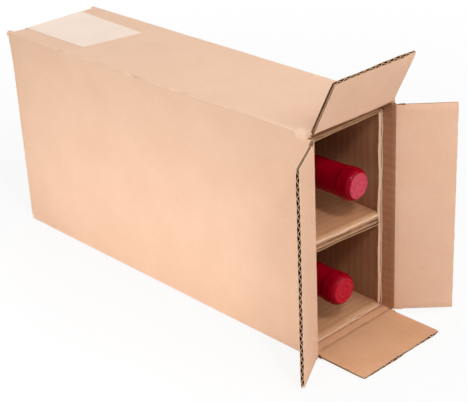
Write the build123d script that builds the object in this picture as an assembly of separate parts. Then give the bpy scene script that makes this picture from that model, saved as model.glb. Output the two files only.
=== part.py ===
from build123d import *
from math import ceil, cos, pi, radians, sin, tan
import os

# A bottle carton of corrugated board, lying on its narrow side with its mouth open.
# It holds a folded two-cell insert and two sealed bottles, each with a foil capsule.
# Millimetres. +X points out of the mouth, -Y to the near long side and +Z up.
# The origin is the centre of the face that the carton rests on.

# Bottles
bottle_length = 325.0
bottle_diameter = 73.0
heel_bevel = 4.0
recess_depth = 3.5         # hollow under the bottle
recess_radius = 25.0
shoulder_length = 46.0
shoulder_steps = 4
bare_neck = 23.0           # glass between the shoulder and the capsule

# Capsules
capsule_length = 68.0
capsule_radius = 13.9      # over the neck
capsule_wall = 0.3
capsule_gap = 0.1
head_step = 0.85           # how far the head stands out from the neck
head_length = 15.5
head_bevel = 2.6

# Room round the bottles
end_room = 84.0            # the carton is this much longer than a bottle
side_room = 15.9
upper_headroom = 23.6
lower_headroom = 8.6
rest_gap = 0.2             # between a bottle and what it lies on
upper_yaw = 2.0            # degrees, with the tip towards the far side
upper_side_gap = 1.4       # from the bottle to the far wall of its cell
lower_yaw = -2.5
lower_side_gap = 1.9

# Corrugated board
board = 4.0
liner = 0.5
medium = 0.4
flute_pitch = 7.8
fold_inside = 0.2          # radius inside a fold
layer_gap = 0.3            # between boards that lie on or pass each other
slot_gap = 0.4             # between a flap's side edge and the wall beside it

# Glued joint of the blank, inside the near wall
tab_length = 32.0
tab_thickness = 1.9
seam_gap = 0.5

# Mouth flaps, with their angles in degrees past straight
score_band = 7.0           # crushed board along a crease, with no open flutes
fold_back = 120.0          # as far as a flap can go
near_open = 60.0
far_open = 45.0
top_open = 64.0
bottom_open = 0.0

# Tape over the closed end
tape_thickness = 0.25
tape_width = 66.0
tape_corner = 4.4
tape_tail_near = 95.0
tape_tail_far = 108.0
tape_drift = 4.0           # how far the top tail wanders towards the near side
tape_offset = 1.3
tape_tail_below = 60.0

# Insert: one strip of board rolled into two cells with a shelf of three plies
insert_board = 3.8
insert_recess = 6.5        # from the closed short flaps to the insert's front edge
insert_floor_gap = 0.1
shelf_plies = 3
ply_gap = 0.2
edge_groove = 2.6          # depth of the open flute along the insert's front edge

# Sizes of the carton, outside and with every flap closed
half_board = board / 2
bottle_radius = bottle_diameter / 2
shelf_thickness = shelf_plies * insert_board + (shelf_plies - 1) * ply_gap
lower_floor = board + insert_floor_gap + insert_board
shelf_height = lower_floor + bottle_diameter + lower_headroom + shelf_thickness
cell_width = bottle_diameter + side_room
carton_length = bottle_length + end_room
carton_width = cell_width + 2 * (board + insert_board + layer_gap) + tab_thickness
carton_height = shelf_height + bottle_diameter + upper_headroom + insert_board + layer_gap + board

# Places that follow from the sizes
x_closed_end = -carton_length / 2
x_long_crease = carton_length / 2 - half_board
x_short_crease = x_long_crease - board - layer_gap
y_wall = carton_width / 2 - half_board
y_cell_far = y_wall - half_board - layer_gap - insert_board
z_ceiling = carton_height - half_board
slot_inset = board + slot_gap
crease_clearance = half_board + layer_gap
long_reach = carton_width / 2 - half_board - layer_gap
short_reach = long_reach + board + layer_gap
x_closed_long = x_closed_end + half_board
x_closed_short = x_closed_long + board + layer_gap
x_shut_face = x_short_crease - half_board
x_inner_end = x_closed_short + half_board
body_length = bottle_length - capsule_length - bare_neck - shoulder_length
head_radius = capsule_radius + head_step


def board_strip(points, thickness, inside=fold_inside):
    """Section of a strip of board along a bent line, with this radius inside its folds."""
    return trace(FilletPolyline(*points, radius=inside + thickness / 2), thickness)


def on_section_plane(section, x_from, length):
    """Turn a section drawn as (y, z) into a solid that runs along +X."""
    plane = Plane(origin=(x_from, 0, 0), x_dir=(0, 1, 0), z_dir=(1, 0, 0))
    return extrude(plane * section, amount=length)


def slab(x_range, y_range, z_range):
    """A rectangular block between two corners."""
    size = [high - low for low, high in (x_range, y_range, z_range)]
    low_corner = (x_range[0], y_range[0], z_range[0])
    return Pos(*low_corner) * Box(*size, align=Align.MIN)


def tube_section():
    """Section of the four walls, from the glue tab round to the near wall's raw edge."""
    y_tab = -y_wall + board
    walls = board_strip(
        [
            (y_tab, half_board + tab_length + half_board),
            (y_tab, half_board),
            (y_wall, half_board),
            (y_wall, z_ceiling),
            (-y_wall, z_ceiling),
            (-y_wall, seam_gap),
        ],
        board,
    )
    spare = board - tab_thickness
    crushed = Pos(y_tab + half_board - spare, board) * Rectangle(
        spare + layer_gap, tab_length + board, align=Align.MIN
    )
    return walls - crushed


def closed_flap(crease, reach):
    """A folded flap with a stub of its wall, drawn flat as (along the wall, across)."""
    stub = crease + fold_inside + half_board + board
    return board_strip([(stub, 0), (crease, 0), (crease, -reach)], board)


def short_closed_flaps():
    """The two flaps folded in first at the closed end, from the floor and the ceiling."""
    width = carton_width - 2 * slot_inset
    plane = Plane(origin=(0, -width / 2, z_ceiling), x_dir=(1, 0, 0), z_dir=(0, -1, 0))
    upper = extrude(plane * closed_flap(x_closed_short, short_reach), amount=-width)
    middle = Plane.XY.offset(carton_height / 2)
    return [upper, mirror(upper, about=middle)]


def long_closed_flaps():
    """The two flaps folded over them, which meet at the middle of the closed end."""
    height = carton_height - 2 * slot_inset
    plane = Plane(origin=(0, y_wall, slot_inset), x_dir=(1, 0, 0), z_dir=(0, 0, 1))
    far = extrude(plane * closed_flap(x_closed_long, long_reach), amount=height)
    return [far, mirror(far, about=Plane.XZ)]


def lip_bevels():
    """Cuts along the walls' front outer edges, which let the flaps fold back.

    Each bevel is as far from the flap's hinge as the wall's front edge, and is parallel to
    the flap when that is folded back.
    """
    lean = radians(fold_back - 90)
    drop = half_board + crease_clearance * tan(lean / 2)
    back = drop * tan(lean)
    profile = Polygon((0, 0), (0, -drop), (-back, 0), align=None)
    x_short = x_short_crease - crease_clearance
    x_long = x_long_crease - crease_clearance
    top = Plane(origin=(x_short, carton_width, carton_height), x_dir=(1, 0, 0), z_dir=(0, -1, 0))
    far = Plane(origin=(x_long, carton_width / 2, slot_inset), x_dir=(1, 0, 0), z_dir=(0, 0, 1))
    upper = extrude(top * profile, amount=-2 * carton_width)
    side = extrude(far * profile, amount=2 * slot_inset - carton_height)
    return [
        upper,
        mirror(upper, about=Plane.XY.offset(carton_height / 2)),
        side,
        mirror(side, about=Plane.XZ),
    ]


def make_tape():
    """The strip over the closed end's seam, with one tail on top and one below."""
    x_outer = x_closed_end - tape_thickness / 2
    z_top = carton_height + tape_thickness / 2
    z_below = tape_thickness / 2
    x_turn = x_closed_end + tape_corner
    strip = board_strip(
        [(x_turn, z_top), (x_outer, z_top), (x_outer, z_below), (x_turn, z_below)],
        tape_thickness,
        tape_corner - tape_thickness / 2,
    )
    seam = Plane(origin=(0, tape_offset + tape_width / 2, 0), x_dir=(1, 0, 0), z_dir=(0, -1, 0))
    tape = extrude(seam * strip, amount=tape_width)
    y_near = tape_offset - tape_width / 2
    y_far = tape_offset + tape_width / 2
    upper_tail = Polygon(
        (x_turn, y_near),
        (x_closed_end + tape_tail_near, y_near - tape_drift),
        (x_closed_end + tape_tail_far, y_far - tape_drift),
        (x_turn, y_far),
        align=None,
    )
    tape += extrude(Pos(0, 0, carton_height) * upper_tail, amount=tape_thickness)
    tape += slab(
        (x_turn, x_closed_end + tape_tail_below), (y_near, y_far), (0, tape_thickness)
    )
    return tape


def make_carton(tape):
    """Walls, glue tab and closed end: one sheet of board, folded, glued and taped."""
    x_start = x_closed_short + half_board + fold_inside
    x_front = x_short_crease - crease_clearance
    carton = on_section_plane(tube_section(), x_start, x_front - x_start)
    long_wall = slab(
        (x_closed_long + half_board + fold_inside, x_long_crease - crease_clearance),
        (y_wall - half_board, y_wall + half_board),
        (slot_inset, carton_height - slot_inset),
    )
    carton += [long_wall, mirror(long_wall, about=Plane.XZ)]
    carton += short_closed_flaps() + long_closed_flaps()
    carton -= lip_bevels()
    return carton - tape


def flute_tunnel():
    """Section of one open flute, its base on the lower liner, centred on its middle."""
    rise = board - 2 * liner
    slope = rise / (flute_pitch / 2)
    side_gap = medium / 2 * (1 + slope**2) ** 0.5 / slope
    half_base = flute_pitch / 2 - side_gap
    return Polygon(
        (-half_base, -rise / 2), (half_base, -rise / 2), (0, half_base * slope - rise / 2), align=None
    )


def make_flap(width, reach):
    """A flap lying along +X from its crease at the origin, with its flutes open at the end.

    Its flutes run from the crushed score to the free edge.
    """
    section = Rectangle(width, board)
    half_steps = ceil(width / flute_pitch) + 1
    tunnel = flute_tunnel()
    flutes = []
    for step in range(-half_steps, half_steps + 1):
        turn = 180 if step % 2 else 0
        flutes.append(Pos(step * flute_pitch / 2, 0) * Rot(0, 0, turn) * tunnel)
    section -= flutes
    fluted = on_section_plane(section, score_band, reach - score_band)
    score = slab((0, score_band), (-width / 2, width / 2), (-half_board, half_board))
    roll = Rot(90, 0, 0) * Cylinder(half_board, width)
    return fluted + score + roll


def make_bottle():
    """A sealed bottle along +X, with its hollow base at the origin."""
    neck = capsule_radius - capsule_wall - capsule_gap
    x_neck = body_length + shoulder_length
    x_top = bottle_length - head_bevel
    shoulder = []
    for step in range(shoulder_steps + 1):
        share = step / shoulder_steps
        fallen = (bottle_radius - neck) * (1 - cos(pi * share)) / 2
        shoulder.append((body_length + shoulder_length * share, bottle_radius - fallen))
    outline = Polyline(
        (recess_depth, 0),
        (recess_depth, recess_radius),
        (0, recess_radius),
        (0, bottle_radius - heel_bevel),
        (heel_bevel, bottle_radius),
        *shoulder,
        (x_top, neck),
        (x_top, 0),
        close=True,
    )
    return revolve(make_face(outline), Axis.X)


def make_capsule():
    """The cap over a bottle's head and neck, a shell with a thicker, bevelled head."""
    x_skirt = bottle_length - capsule_length
    x_head = bottle_length - head_length
    x_bevel = bottle_length - head_bevel
    bore = capsule_radius - capsule_wall
    outline = Polyline(
        (bottle_length, 0),
        (bottle_length, head_radius - head_bevel),
        (x_bevel, head_radius),
        (x_head, head_radius),
        (x_head, capsule_radius),
        (x_skirt, capsule_radius),
        (x_skirt, bore),
        (x_bevel + capsule_gap, bore),
        (x_bevel + capsule_gap, 0),
        close=True,
    )
    return revolve(make_face(outline), Axis.X)


def make_insert():
    """One strip of board rolled into two cells, one above the other.

    It starts as the shelf's upper ply, goes up and all the way round, comes back as the
    lower ply and turns over into the middle one.
    """
    half = insert_board / 2
    y_near = y_cell_far - cell_width - half
    y_far = y_cell_far + half
    y_shelf_end = y_cell_far - layer_gap
    z_floor = lower_floor - half
    z_roof = carton_height - board - layer_gap - half
    step = insert_board + ply_gap
    z_upper = shelf_height - half
    bend = half + fold_inside
    hairpin = step / 2 - ply_gap / 4
    route = FilletPolyline(
        (y_shelf_end, z_upper),
        (y_near, z_upper),
        (y_near, z_roof),
        (y_far, z_roof),
        (y_far, z_floor),
        (y_near, z_floor),
        (y_near, z_upper - 2 * step),
        (y_shelf_end - half, z_upper - 2 * step),
        (y_shelf_end - half, z_upper - step),
        (y_near - half, z_upper - step),
        radius=[bend] * 6 + [hairpin] * 2,
    )
    x_back = x_inner_end + layer_gap
    length = x_shut_face - insert_recess - x_back
    insert = on_section_plane(trace(route, insert_board), x_back, length)
    open_flute = trace(route, insert_board - 2 * liner)
    x_groove = x_back + length - edge_groove
    return insert - on_section_plane(open_flute, x_groove, edge_groove)


def place_bottle(piece, floor_height, yaw, pivot, side_gap):
    """Lay a bottle or its capsule on a level floor, its tip behind the closed flaps.

    It is turned about the place, this far from its base, where it comes nearest to the
    far wall of its cell.
    """
    lean = radians(yaw)
    x_tip = x_shut_face - layer_gap - head_radius * abs(sin(lean))
    x_pivot = x_tip - (bottle_length - pivot) * cos(lean)
    y_pivot = y_cell_far - side_gap - bottle_radius
    z_axis = floor_height + rest_gap + bottle_radius
    return Pos(x_pivot, y_pivot, z_axis) * Rot(0, 0, yaw) * Pos(-pivot, 0, 0) * piece


def place_flap(flap, hinge, opening):
    """Set a flap on its crease, turned past straight by the angle it stands open."""
    return hinge * Rot(0, -opening, 0) * flap


tape = make_tape()
long_flap = make_flap(carton_height - 2 * slot_inset, long_reach)
short_flap = make_flap(carton_width - 2 * slot_inset, short_reach)
z_middle = carton_height / 2
near_hinge = Pos(x_long_crease, -y_wall, z_middle) * Rot(90, 0, 0)
far_hinge = Pos(x_long_crease, y_wall, z_middle) * Rot(-90, 0, 0)
top_hinge = Pos(x_short_crease, 0, z_ceiling)
bottom_hinge = Pos(x_short_crease, 0, half_board) * Rot(180, 0, 0)
bottle = make_bottle()
capsule = make_capsule()
in_upper_cell = (shelf_height, upper_yaw, body_length, upper_side_gap)
in_lower_cell = (lower_floor, lower_yaw, 0, lower_side_gap)

pieces = {
    "carton_body": make_carton(tape),
    "near_flap": place_flap(long_flap, near_hinge, near_open),
    "far_flap": place_flap(long_flap, far_hinge, far_open),
    "top_flap": place_flap(short_flap, top_hinge, top_open),
    "bottom_flap": place_flap(short_flap, bottom_hinge, bottom_open),
    "bottle_insert": make_insert(),
    "closing_tape": tape,
    "bottle_upper": place_bottle(bottle, *in_upper_cell),
    "capsule_upper": place_bottle(capsule, *in_upper_cell),
    "bottle_lower": place_bottle(bottle, *in_lower_cell),
    "capsule_lower": place_bottle(capsule, *in_lower_cell),
}

os.makedirs("parts", exist_ok=True)
for name, piece in pieces.items():
    export_step(piece, f"parts/{name}.step")
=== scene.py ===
import logging
import math
from dataclasses import dataclass, field
from enum import Enum

import bpy
import numpy as np
from mathutils import Matrix, Vector


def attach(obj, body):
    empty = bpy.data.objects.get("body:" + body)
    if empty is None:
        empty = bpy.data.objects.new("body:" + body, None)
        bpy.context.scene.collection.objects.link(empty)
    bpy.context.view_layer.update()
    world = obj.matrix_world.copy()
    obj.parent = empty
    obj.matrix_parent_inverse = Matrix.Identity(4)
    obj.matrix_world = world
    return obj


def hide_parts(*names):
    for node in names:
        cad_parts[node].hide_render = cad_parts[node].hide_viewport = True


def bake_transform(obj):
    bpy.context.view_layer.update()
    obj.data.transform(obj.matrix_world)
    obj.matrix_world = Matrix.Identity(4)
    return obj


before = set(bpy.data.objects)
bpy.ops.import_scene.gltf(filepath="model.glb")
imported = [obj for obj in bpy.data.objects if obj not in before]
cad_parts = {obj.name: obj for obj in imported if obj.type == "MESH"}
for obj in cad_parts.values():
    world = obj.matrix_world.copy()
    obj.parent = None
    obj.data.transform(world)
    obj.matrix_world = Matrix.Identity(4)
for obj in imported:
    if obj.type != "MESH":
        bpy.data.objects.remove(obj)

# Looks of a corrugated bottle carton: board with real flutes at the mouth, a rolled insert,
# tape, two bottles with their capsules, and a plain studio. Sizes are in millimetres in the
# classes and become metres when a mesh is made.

LOG = logging.getLogger("bottle_carton")
MM = 0.001
ROUND = math.tau
FOLD_RUN = 0.3  # how much board each side of a fold's middle bends, in mm
SQUARE_ON = 0.9  # a normal with this much along an axis faces along it
Colour = tuple[float, float, float, float]


# Shared helpers

def tone(red: int, green: int, blue: int) -> Colour:
    """Scene-linear colour of a screen colour.

    Args:
        red, green, blue: the screen colour, each from 0 to 255.

    Returns:
        The colour, with an alpha of 1.
    """
    linear = []
    for value in (red, green, blue):
        share = value / 255
        linear.append(share / 12.92 if share <= 0.04045 else ((share + 0.055) / 1.055) ** 2.4)
    return (*linear, 1.0)


@dataclass
class Ripple:
    """A smooth, repeatable unevenness over a surface.

    Fields:
        size: distance between its rises, in mm.
        seed: picks one pattern.
        waves: how many waves are added up.
    """

    size: float
    seed: int
    waves: int = 9

    def __post_init__(self) -> None:
        """Draw the directions, lengths and phases of the waves."""
        draw = np.random.RandomState(self.seed)
        heading = draw.uniform(0, ROUND, self.waves)
        pace = ROUND / (self.size * draw.uniform(0.7, 1.7, self.waves))
        self.pull_a = np.cos(heading) * pace
        self.pull_b = np.sin(heading) * pace
        self.phase = draw.uniform(0, ROUND, self.waves)

    def at(self, a: np.ndarray, b: np.ndarray | float = 0.0) -> np.ndarray:
        """Height of the pattern, about -1 to 1.

        Args:
            a: first coordinate of each point, in mm.
            b: second coordinate of each point, in mm.

        Returns:
            One height for each point.
        """
        a, b = np.broadcast_arrays(np.asarray(a, float), np.asarray(b, float))
        total = np.zeros(a.shape)
        for pull_a, pull_b, phase in zip(self.pull_a, self.pull_b, self.phase):
            total += np.sin(a * pull_a + b * pull_b + phase)
        return total / math.sqrt(self.waves / 2) / 1.8


def eased(share: np.ndarray) -> np.ndarray:
    """Share held between 0 and 1, with a soft start and end."""
    held = np.clip(share, 0, 1)
    return held * held * (3 - 2 * held)


@dataclass
class Trail:
    """A line with rounded corners in a plane, sampled, with its normals.

    Fields:
        spots: sampled points, one row each.
        normals: unit normals, to the right of the direction of travel.
        run: distance along the line.
        folding: 1 on a rounded corner and 0 on the straights.
    """

    spots: np.ndarray
    normals: np.ndarray
    run: np.ndarray
    folding: np.ndarray


def right_of(heading: np.ndarray) -> np.ndarray:
    """The direction to the right of a heading in a plane."""
    return np.array([heading[1], -heading[0]])


def turned(heading: np.ndarray, angle: float) -> np.ndarray:
    """A heading in a plane, turned to the left by an angle in radians."""
    cosine, sine = math.cos(angle), math.sin(angle)
    return np.array([heading[0] * cosine - heading[1] * sine, heading[0] * sine + heading[1] * cosine])


def turn_between(heading: np.ndarray, onward: np.ndarray) -> float:
    """The angle to the left from one heading in a plane to the next, in radians."""
    return math.atan2(heading[0] * onward[1] - heading[1] * onward[0], heading @ onward)


def rounded_trail(corners: list[tuple[float, float]], radii: list[float],
                  step: float, arc_steps: int = 6) -> Trail:
    """Sample a line through corners, each rounded by its radius.

    Args:
        corners: ends and corners of the line.
        radii: one radius for each corner.
        step: longest distance between samples on the straights.
        arc_steps: samples on each rounded corner.

    Returns:
        The sampled line.
    """
    points = [np.array(corner, float) for corner in corners]
    headings = [(b - a) / np.linalg.norm(b - a) for a, b in zip(points, points[1:])]
    spots: list[np.ndarray] = []
    normals: list[np.ndarray] = []
    folding: list[float] = []
    start = points[0]
    for index, heading in enumerate(headings):
        last = index == len(headings) - 1
        stop = points[index + 1]
        if not last:
            turn = turn_between(heading, headings[index + 1])
            setback = radii[index] * math.tan(abs(turn) / 2)
            stop = stop - heading * setback
        count = max(1, math.ceil(np.linalg.norm(stop - start) / step))
        for share in np.linspace(0, 1, count + 1):
            spots.append(start + (stop - start) * share)
            normals.append(right_of(heading))
            folding.append(0.0)
        if not last:
            bend = math.copysign(radii[index], turn)
            centre = stop - bend * right_of(heading)
            for share in np.linspace(0, 1, arc_steps + 1)[1:-1]:
                way = turned(heading, turn * share)
                spots.append(centre + bend * right_of(way))
                normals.append(right_of(way))
                folding.append(math.sin(math.pi * share))
            start = points[index + 1] + headings[index + 1] * setback
    steps = np.linalg.norm(np.diff(np.array(spots), axis=0), axis=1)
    return Trail(np.array(spots), np.array(normals), np.concatenate([[0], np.cumsum(steps)]),
                 np.array(folding))


def folded_side(corners: list[tuple[float, float]], offset: float, columns: list[list[float]],
                round_out: float, round_in: float, arc_steps: int = 5) -> Trail:
    """One face of a board that is folded along a line of corners.

    Two faces with the same columns have matching samples, whatever their corners' radii.

    Args:
        corners: ends and corners of the board's middle line.
        offset: distance from the middle line, to the right of the direction of travel.
        columns: distances from each straight's start, between its ends.
        round_out: radius of a corner on the outside of its fold.
        round_in: radius of a corner on the inside of its fold.
        arc_steps: samples on each corner.

    Returns:
        The sampled face, with its distance along the middle line.
    """
    points = [np.array(corner, float) for corner in corners]
    headings = [(b - a) / np.linalg.norm(b - a) for a, b in zip(points, points[1:])]
    sides = [right_of(heading) for heading in headings]
    spots: list[np.ndarray] = []
    normals: list[np.ndarray] = []
    run: list[float] = []
    folding: list[float] = []
    passed = 0.0
    start = points[0] + sides[0] * offset
    begin = 0.0
    for index, (heading, side) in enumerate(zip(headings, sides)):
        length = float(np.linalg.norm(points[index + 1] - points[index]))
        last = index == len(headings) - 1
        stop, end = points[index + 1] + side * offset, length
        if not last:
            onward = headings[index + 1]
            turn = turn_between(heading, onward)
            radius = round_out if offset * turn > 0 else round_in
            mitre = (side + sides[index + 1]) / (1 + side @ sides[index + 1])
            corner = points[index + 1] + offset * mitre
            setback = radius * math.tan(abs(turn) / 2)
            stop, end = corner - heading * setback, length - FOLD_RUN
        middles = [points[index] + heading * along + side * offset for along in columns[index]]
        for spot, along in zip([start, *middles, stop], [begin, *columns[index], end]):
            spots.append(spot)
            normals.append(side)
            run.append(passed + along)
            folding.append(0.0)
        if not last:
            bend = math.copysign(radius, turn)
            centre = stop - bend * right_of(heading)
            for share in np.linspace(0, 1, arc_steps + 1)[1:-1]:
                way = turned(heading, turn * share)
                spots.append(centre + bend * right_of(way))
                normals.append(right_of(way))
                run.append(passed + length - FOLD_RUN + 2 * FOLD_RUN * share)
                folding.append(math.sin(math.pi * share))
            start, begin = corner + onward * setback, FOLD_RUN
        passed += length
    return Trail(np.array(spots), np.array(normals), np.array(run), np.array(folding))


def even_columns(length: float, step: float, first: float, last: float) -> list[float]:
    """Distances from first to last, a step apart or less, for a straight of this length."""
    return list(np.linspace(first, length - last, max(2, math.ceil((length - first - last) / step))))


@dataclass
class Sheet:
    """A sheet with thickness, as two matching grids of points.

    Fields:
        upper: points of one face, rows by columns by three, in mm.
        lower: points of the other face.
        across: distance across the flutes at each point, in mm.
        wear_and_shading: how rubbed the board is at each point, 0 to 1; on fluted paper it also sets
            painted shade, and on the walls' upper folds a painted highlight.
        kept: which cells of the grid are there; all of them when None.
        plies: material indices of the upper face, the lower face and the cut edges.
        under: material index of each cell of the lower face, where they differ.
        rim: material index of the cut edges of each cell, where they differ.
        over: material index of each cell of the upper face, where they differ.
    """

    upper: np.ndarray
    lower: np.ndarray
    across: np.ndarray
    wear_and_shading: np.ndarray
    kept: np.ndarray | None = None
    plies: tuple[int, int, int] = (0, 1, 2)
    under: np.ndarray | None = None
    rim: np.ndarray | None = None
    over: np.ndarray | None = None

    def faces(self) -> tuple[np.ndarray, np.ndarray]:
        """Closed faces of the sheet.

        Returns:
            Corner indices of each face, and each face's material index.
        """
        rows, cols = self.upper.shape[:2]
        kept = np.ones((rows - 1, cols - 1), bool) if self.kept is None else self.kept
        count = rows * cols
        index = np.arange(count).reshape(rows, cols)
        a, b = index[:-1, :-1], index[:-1, 1:]
        c, d = index[1:, 1:], index[1:, :-1]
        top = np.stack([a, b, c, d], -1)[kept]
        middle = self.upper - self.lower
        facing = np.cross(self.upper[:-1, 1:] - self.upper[:-1, :-1],
                          self.upper[1:, :-1] - self.upper[:-1, :-1])
        facing = (facing * middle[:-1, :-1]).sum(-1)[kept]
        flipped = np.median(facing) < 0
        if flipped:
            top = top[:, ::-1]
        low = top[:, ::-1] + count
        padded = np.zeros((rows + 1, cols + 1), bool)
        padded[1:-1, 1:-1] = kept
        rim = np.full(kept.shape, self.plies[2]) if self.rim is None else self.rim
        sides, rims = [], []
        here = padded[1:-1, 1:-1]
        for beyond, first, second in ((padded[:-2, 1:-1], a, b), (padded[1:-1, 2:], b, c),
                                      (padded[2:, 1:-1], c, d), (padded[1:-1, :-2], d, a)):
            edge = here & ~beyond
            p, q = first[edge], second[edge]
            wall = np.stack([q, p, p + count, q + count], -1)
            sides.append(wall[:, ::-1] if flipped else wall)
            rims.append(rim[edge])
        walls = np.concatenate(sides)
        faces = np.concatenate([top, low, walls])
        under = np.full(kept.shape, self.plies[1]) if self.under is None else self.under
        over = np.full(kept.shape, self.plies[0]) if self.over is None else self.over
        ply = np.concatenate([over[kept], under[kept], *rims])
        return faces, ply


def add_layer(mesh: bpy.types.Mesh, name: str, values: np.ndarray) -> None:
    """Give a mesh one value at each of its points."""
    layer = mesh.attributes.new(name, "FLOAT", "POINT")
    layer.data.foreach_set("value", values.astype(np.float32))


def put_in_scene(name: str, data: bpy.types.ID) -> bpy.types.Object:
    """Make an object of a mesh, a lamp or a camera and link it to the scene.

    Args:
        name: the object's name.
        data: what it holds.

    Returns:
        The new object.
    """
    made = bpy.data.objects.new(name, data)
    bpy.context.scene.collection.objects.link(made)
    return made


def shaded_object(name: str, mesh: bpy.types.Mesh, crease_angle: float) -> bpy.types.Object:
    """Make an object of a mesh that is shaded smooth between its edges.

    Args:
        name: the object's name.
        mesh: its mesh.
        crease_angle: edges sharper than this many degrees are shaded as edges.

    Returns:
        The new object, linked to the scene.
    """
    mesh.polygons.foreach_set("use_smooth", np.ones(len(mesh.polygons), bool))
    mesh.update()
    mesh.set_sharp_from_angle(angle=math.radians(crease_angle))
    return put_in_scene(name, mesh)


def sheets_object(name: str, sheets: list[Sheet], materials: list[bpy.types.Material],
                  crease_angle: float = 38.0) -> bpy.types.Object:
    """Make one mesh object of several sheets.

    Args:
        name: the object's name.
        sheets: the sheets to join.
        materials: the object's materials, which the sheets name by index.
        crease_angle: edges sharper than this many degrees are shaded as edges.

    Returns:
        The new object, linked to the scene.
    """
    points, faces, plies, across, wear_and_shading, through = [], [], [], [], [], []
    offset = 0
    for sheet in sheets:
        corner, ply = sheet.faces()
        flat = np.concatenate([sheet.upper.reshape(-1, 3), sheet.lower.reshape(-1, 3)])
        extra = [np.concatenate([grid.reshape(-1)] * 2) for grid in (sheet.across, sheet.wear_and_shading)]
        depth = np.concatenate([np.ones(len(flat) // 2), np.zeros(len(flat) // 2)])
        used, packed = np.unique(corner, return_inverse=True)
        points.append(flat[used])
        across.append(extra[0][used])
        wear_and_shading.append(extra[1][used])
        through.append(depth[used])
        faces.append(packed.reshape(corner.shape) + offset)
        plies.append(ply)
        offset += len(used)
    mesh = bpy.data.meshes.new(name)
    mesh.from_pydata((np.concatenate(points) * MM).tolist(), [], np.concatenate(faces).tolist())
    for label, values in (("across", across), ("wear_and_shading", wear_and_shading), ("through", through)):
        add_layer(mesh, label, np.concatenate(values))
    mesh.polygons.foreach_set("material_index", np.concatenate(plies).astype(np.int32))
    for material in materials:
        mesh.materials.append(material)
    mesh.validate()
    return shaded_object(name, mesh, crease_angle)


def lathe_object(name: str, profile: list[tuple[float, float]], place: Matrix,
                 material: bpy.types.Material, around: int = 96,
                 crease_angle: float = 40.0) -> bpy.types.Object:
    """Turn a profile about its own X axis and put it in place.

    Args:
        name: the object's name.
        profile: (distance along the axis, radius), from the low end to the high end, in mm;
            its first and last points lie on the axis.
        place: where the turned shape goes, with its translation in mm.
        material: its material.
        around: points around each ring.
        crease_angle: edges sharper than this many degrees are shaded as edges.

    Returns:
        The new object, linked to the scene.
    """
    angles = np.linspace(0, ROUND, around, endpoint=False)
    points = [(profile[0][0], 0.0, 0.0)]
    for along, radius in profile[1:-1]:
        points.extend((along, radius * math.cos(t), radius * math.sin(t)) for t in angles)
    points.append((profile[-1][0], 0.0, 0.0))
    last = len(points) - 1
    rings = len(profile) - 2
    faces: list[tuple[int, ...]] = []
    for step in range(around):
        after = (step + 1) % around
        faces.append((0, 1 + after, 1 + step))
        for ring in range(rings - 1):
            low, high = 1 + ring * around, 1 + (ring + 1) * around
            faces.append((low + step, low + after, high + after, high + step))
        top = 1 + (rings - 1) * around
        faces.append((last, top + step, top + after))
    mesh = bpy.data.meshes.new(name)
    mesh.from_pydata([tuple(place @ Vector(point) * MM) for point in points], [], faces)
    add_layer(mesh, "along", np.array([point[0] for point in points]))
    mesh.materials.append(material)
    return shaded_object(name, mesh, crease_angle)


class NodeDesk:
    """Builds the nodes of a tree."""

    def __init__(self, tree: bpy.types.NodeTree) -> None:
        """Start on this tree, which is emptied."""
        self.tree = tree
        self.tree.nodes.clear()

    def add(self, kind: str, inputs: dict | None = None, **settings: object) -> bpy.types.Node:
        """Add a node.

        Args:
            kind: the node's type name.
            inputs: values, or sockets to link, by input name or index.
            settings: properties of the node.

        Returns:
            The new node.
        """
        node = self.tree.nodes.new(kind)
        for key, value in settings.items():
            setattr(node, key, value)
        for key, value in (inputs or {}).items():
            if isinstance(value, bpy.types.NodeSocket):
                self.tree.links.new(value, node.inputs[key])
            else:
                node.inputs[key].default_value = value
        return node

    def maths(self, operation: str, *values: object) -> bpy.types.NodeSocket:
        """Result of a Math node on these numbers or sockets."""
        inputs = dict(enumerate(values))
        return self.add("ShaderNodeMath", inputs, operation=operation).outputs[0]

    def times(self, first: object, second: object) -> bpy.types.NodeSocket:
        """Product of two numbers or sockets."""
        return self.maths("MULTIPLY", first, second)

    def plus(self, first: object, second: object) -> bpy.types.NodeSocket:
        """Sum of two numbers or sockets."""
        return self.maths("ADD", first, second)

    def seen(self) -> bpy.types.NodeSocket:
        """Whether a ray comes from the camera, straight or by way of gloss or glass.

        Returns:
            1 for such a ray and 0 for the others.
        """
        rays = self.add("ShaderNodeLightPath").outputs
        either = self.maths("MAXIMUM", rays["Is Camera Ray"], rays["Is Glossy Ray"])
        return self.maths("MAXIMUM", either, rays["Is Transmission Ray"])


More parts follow.
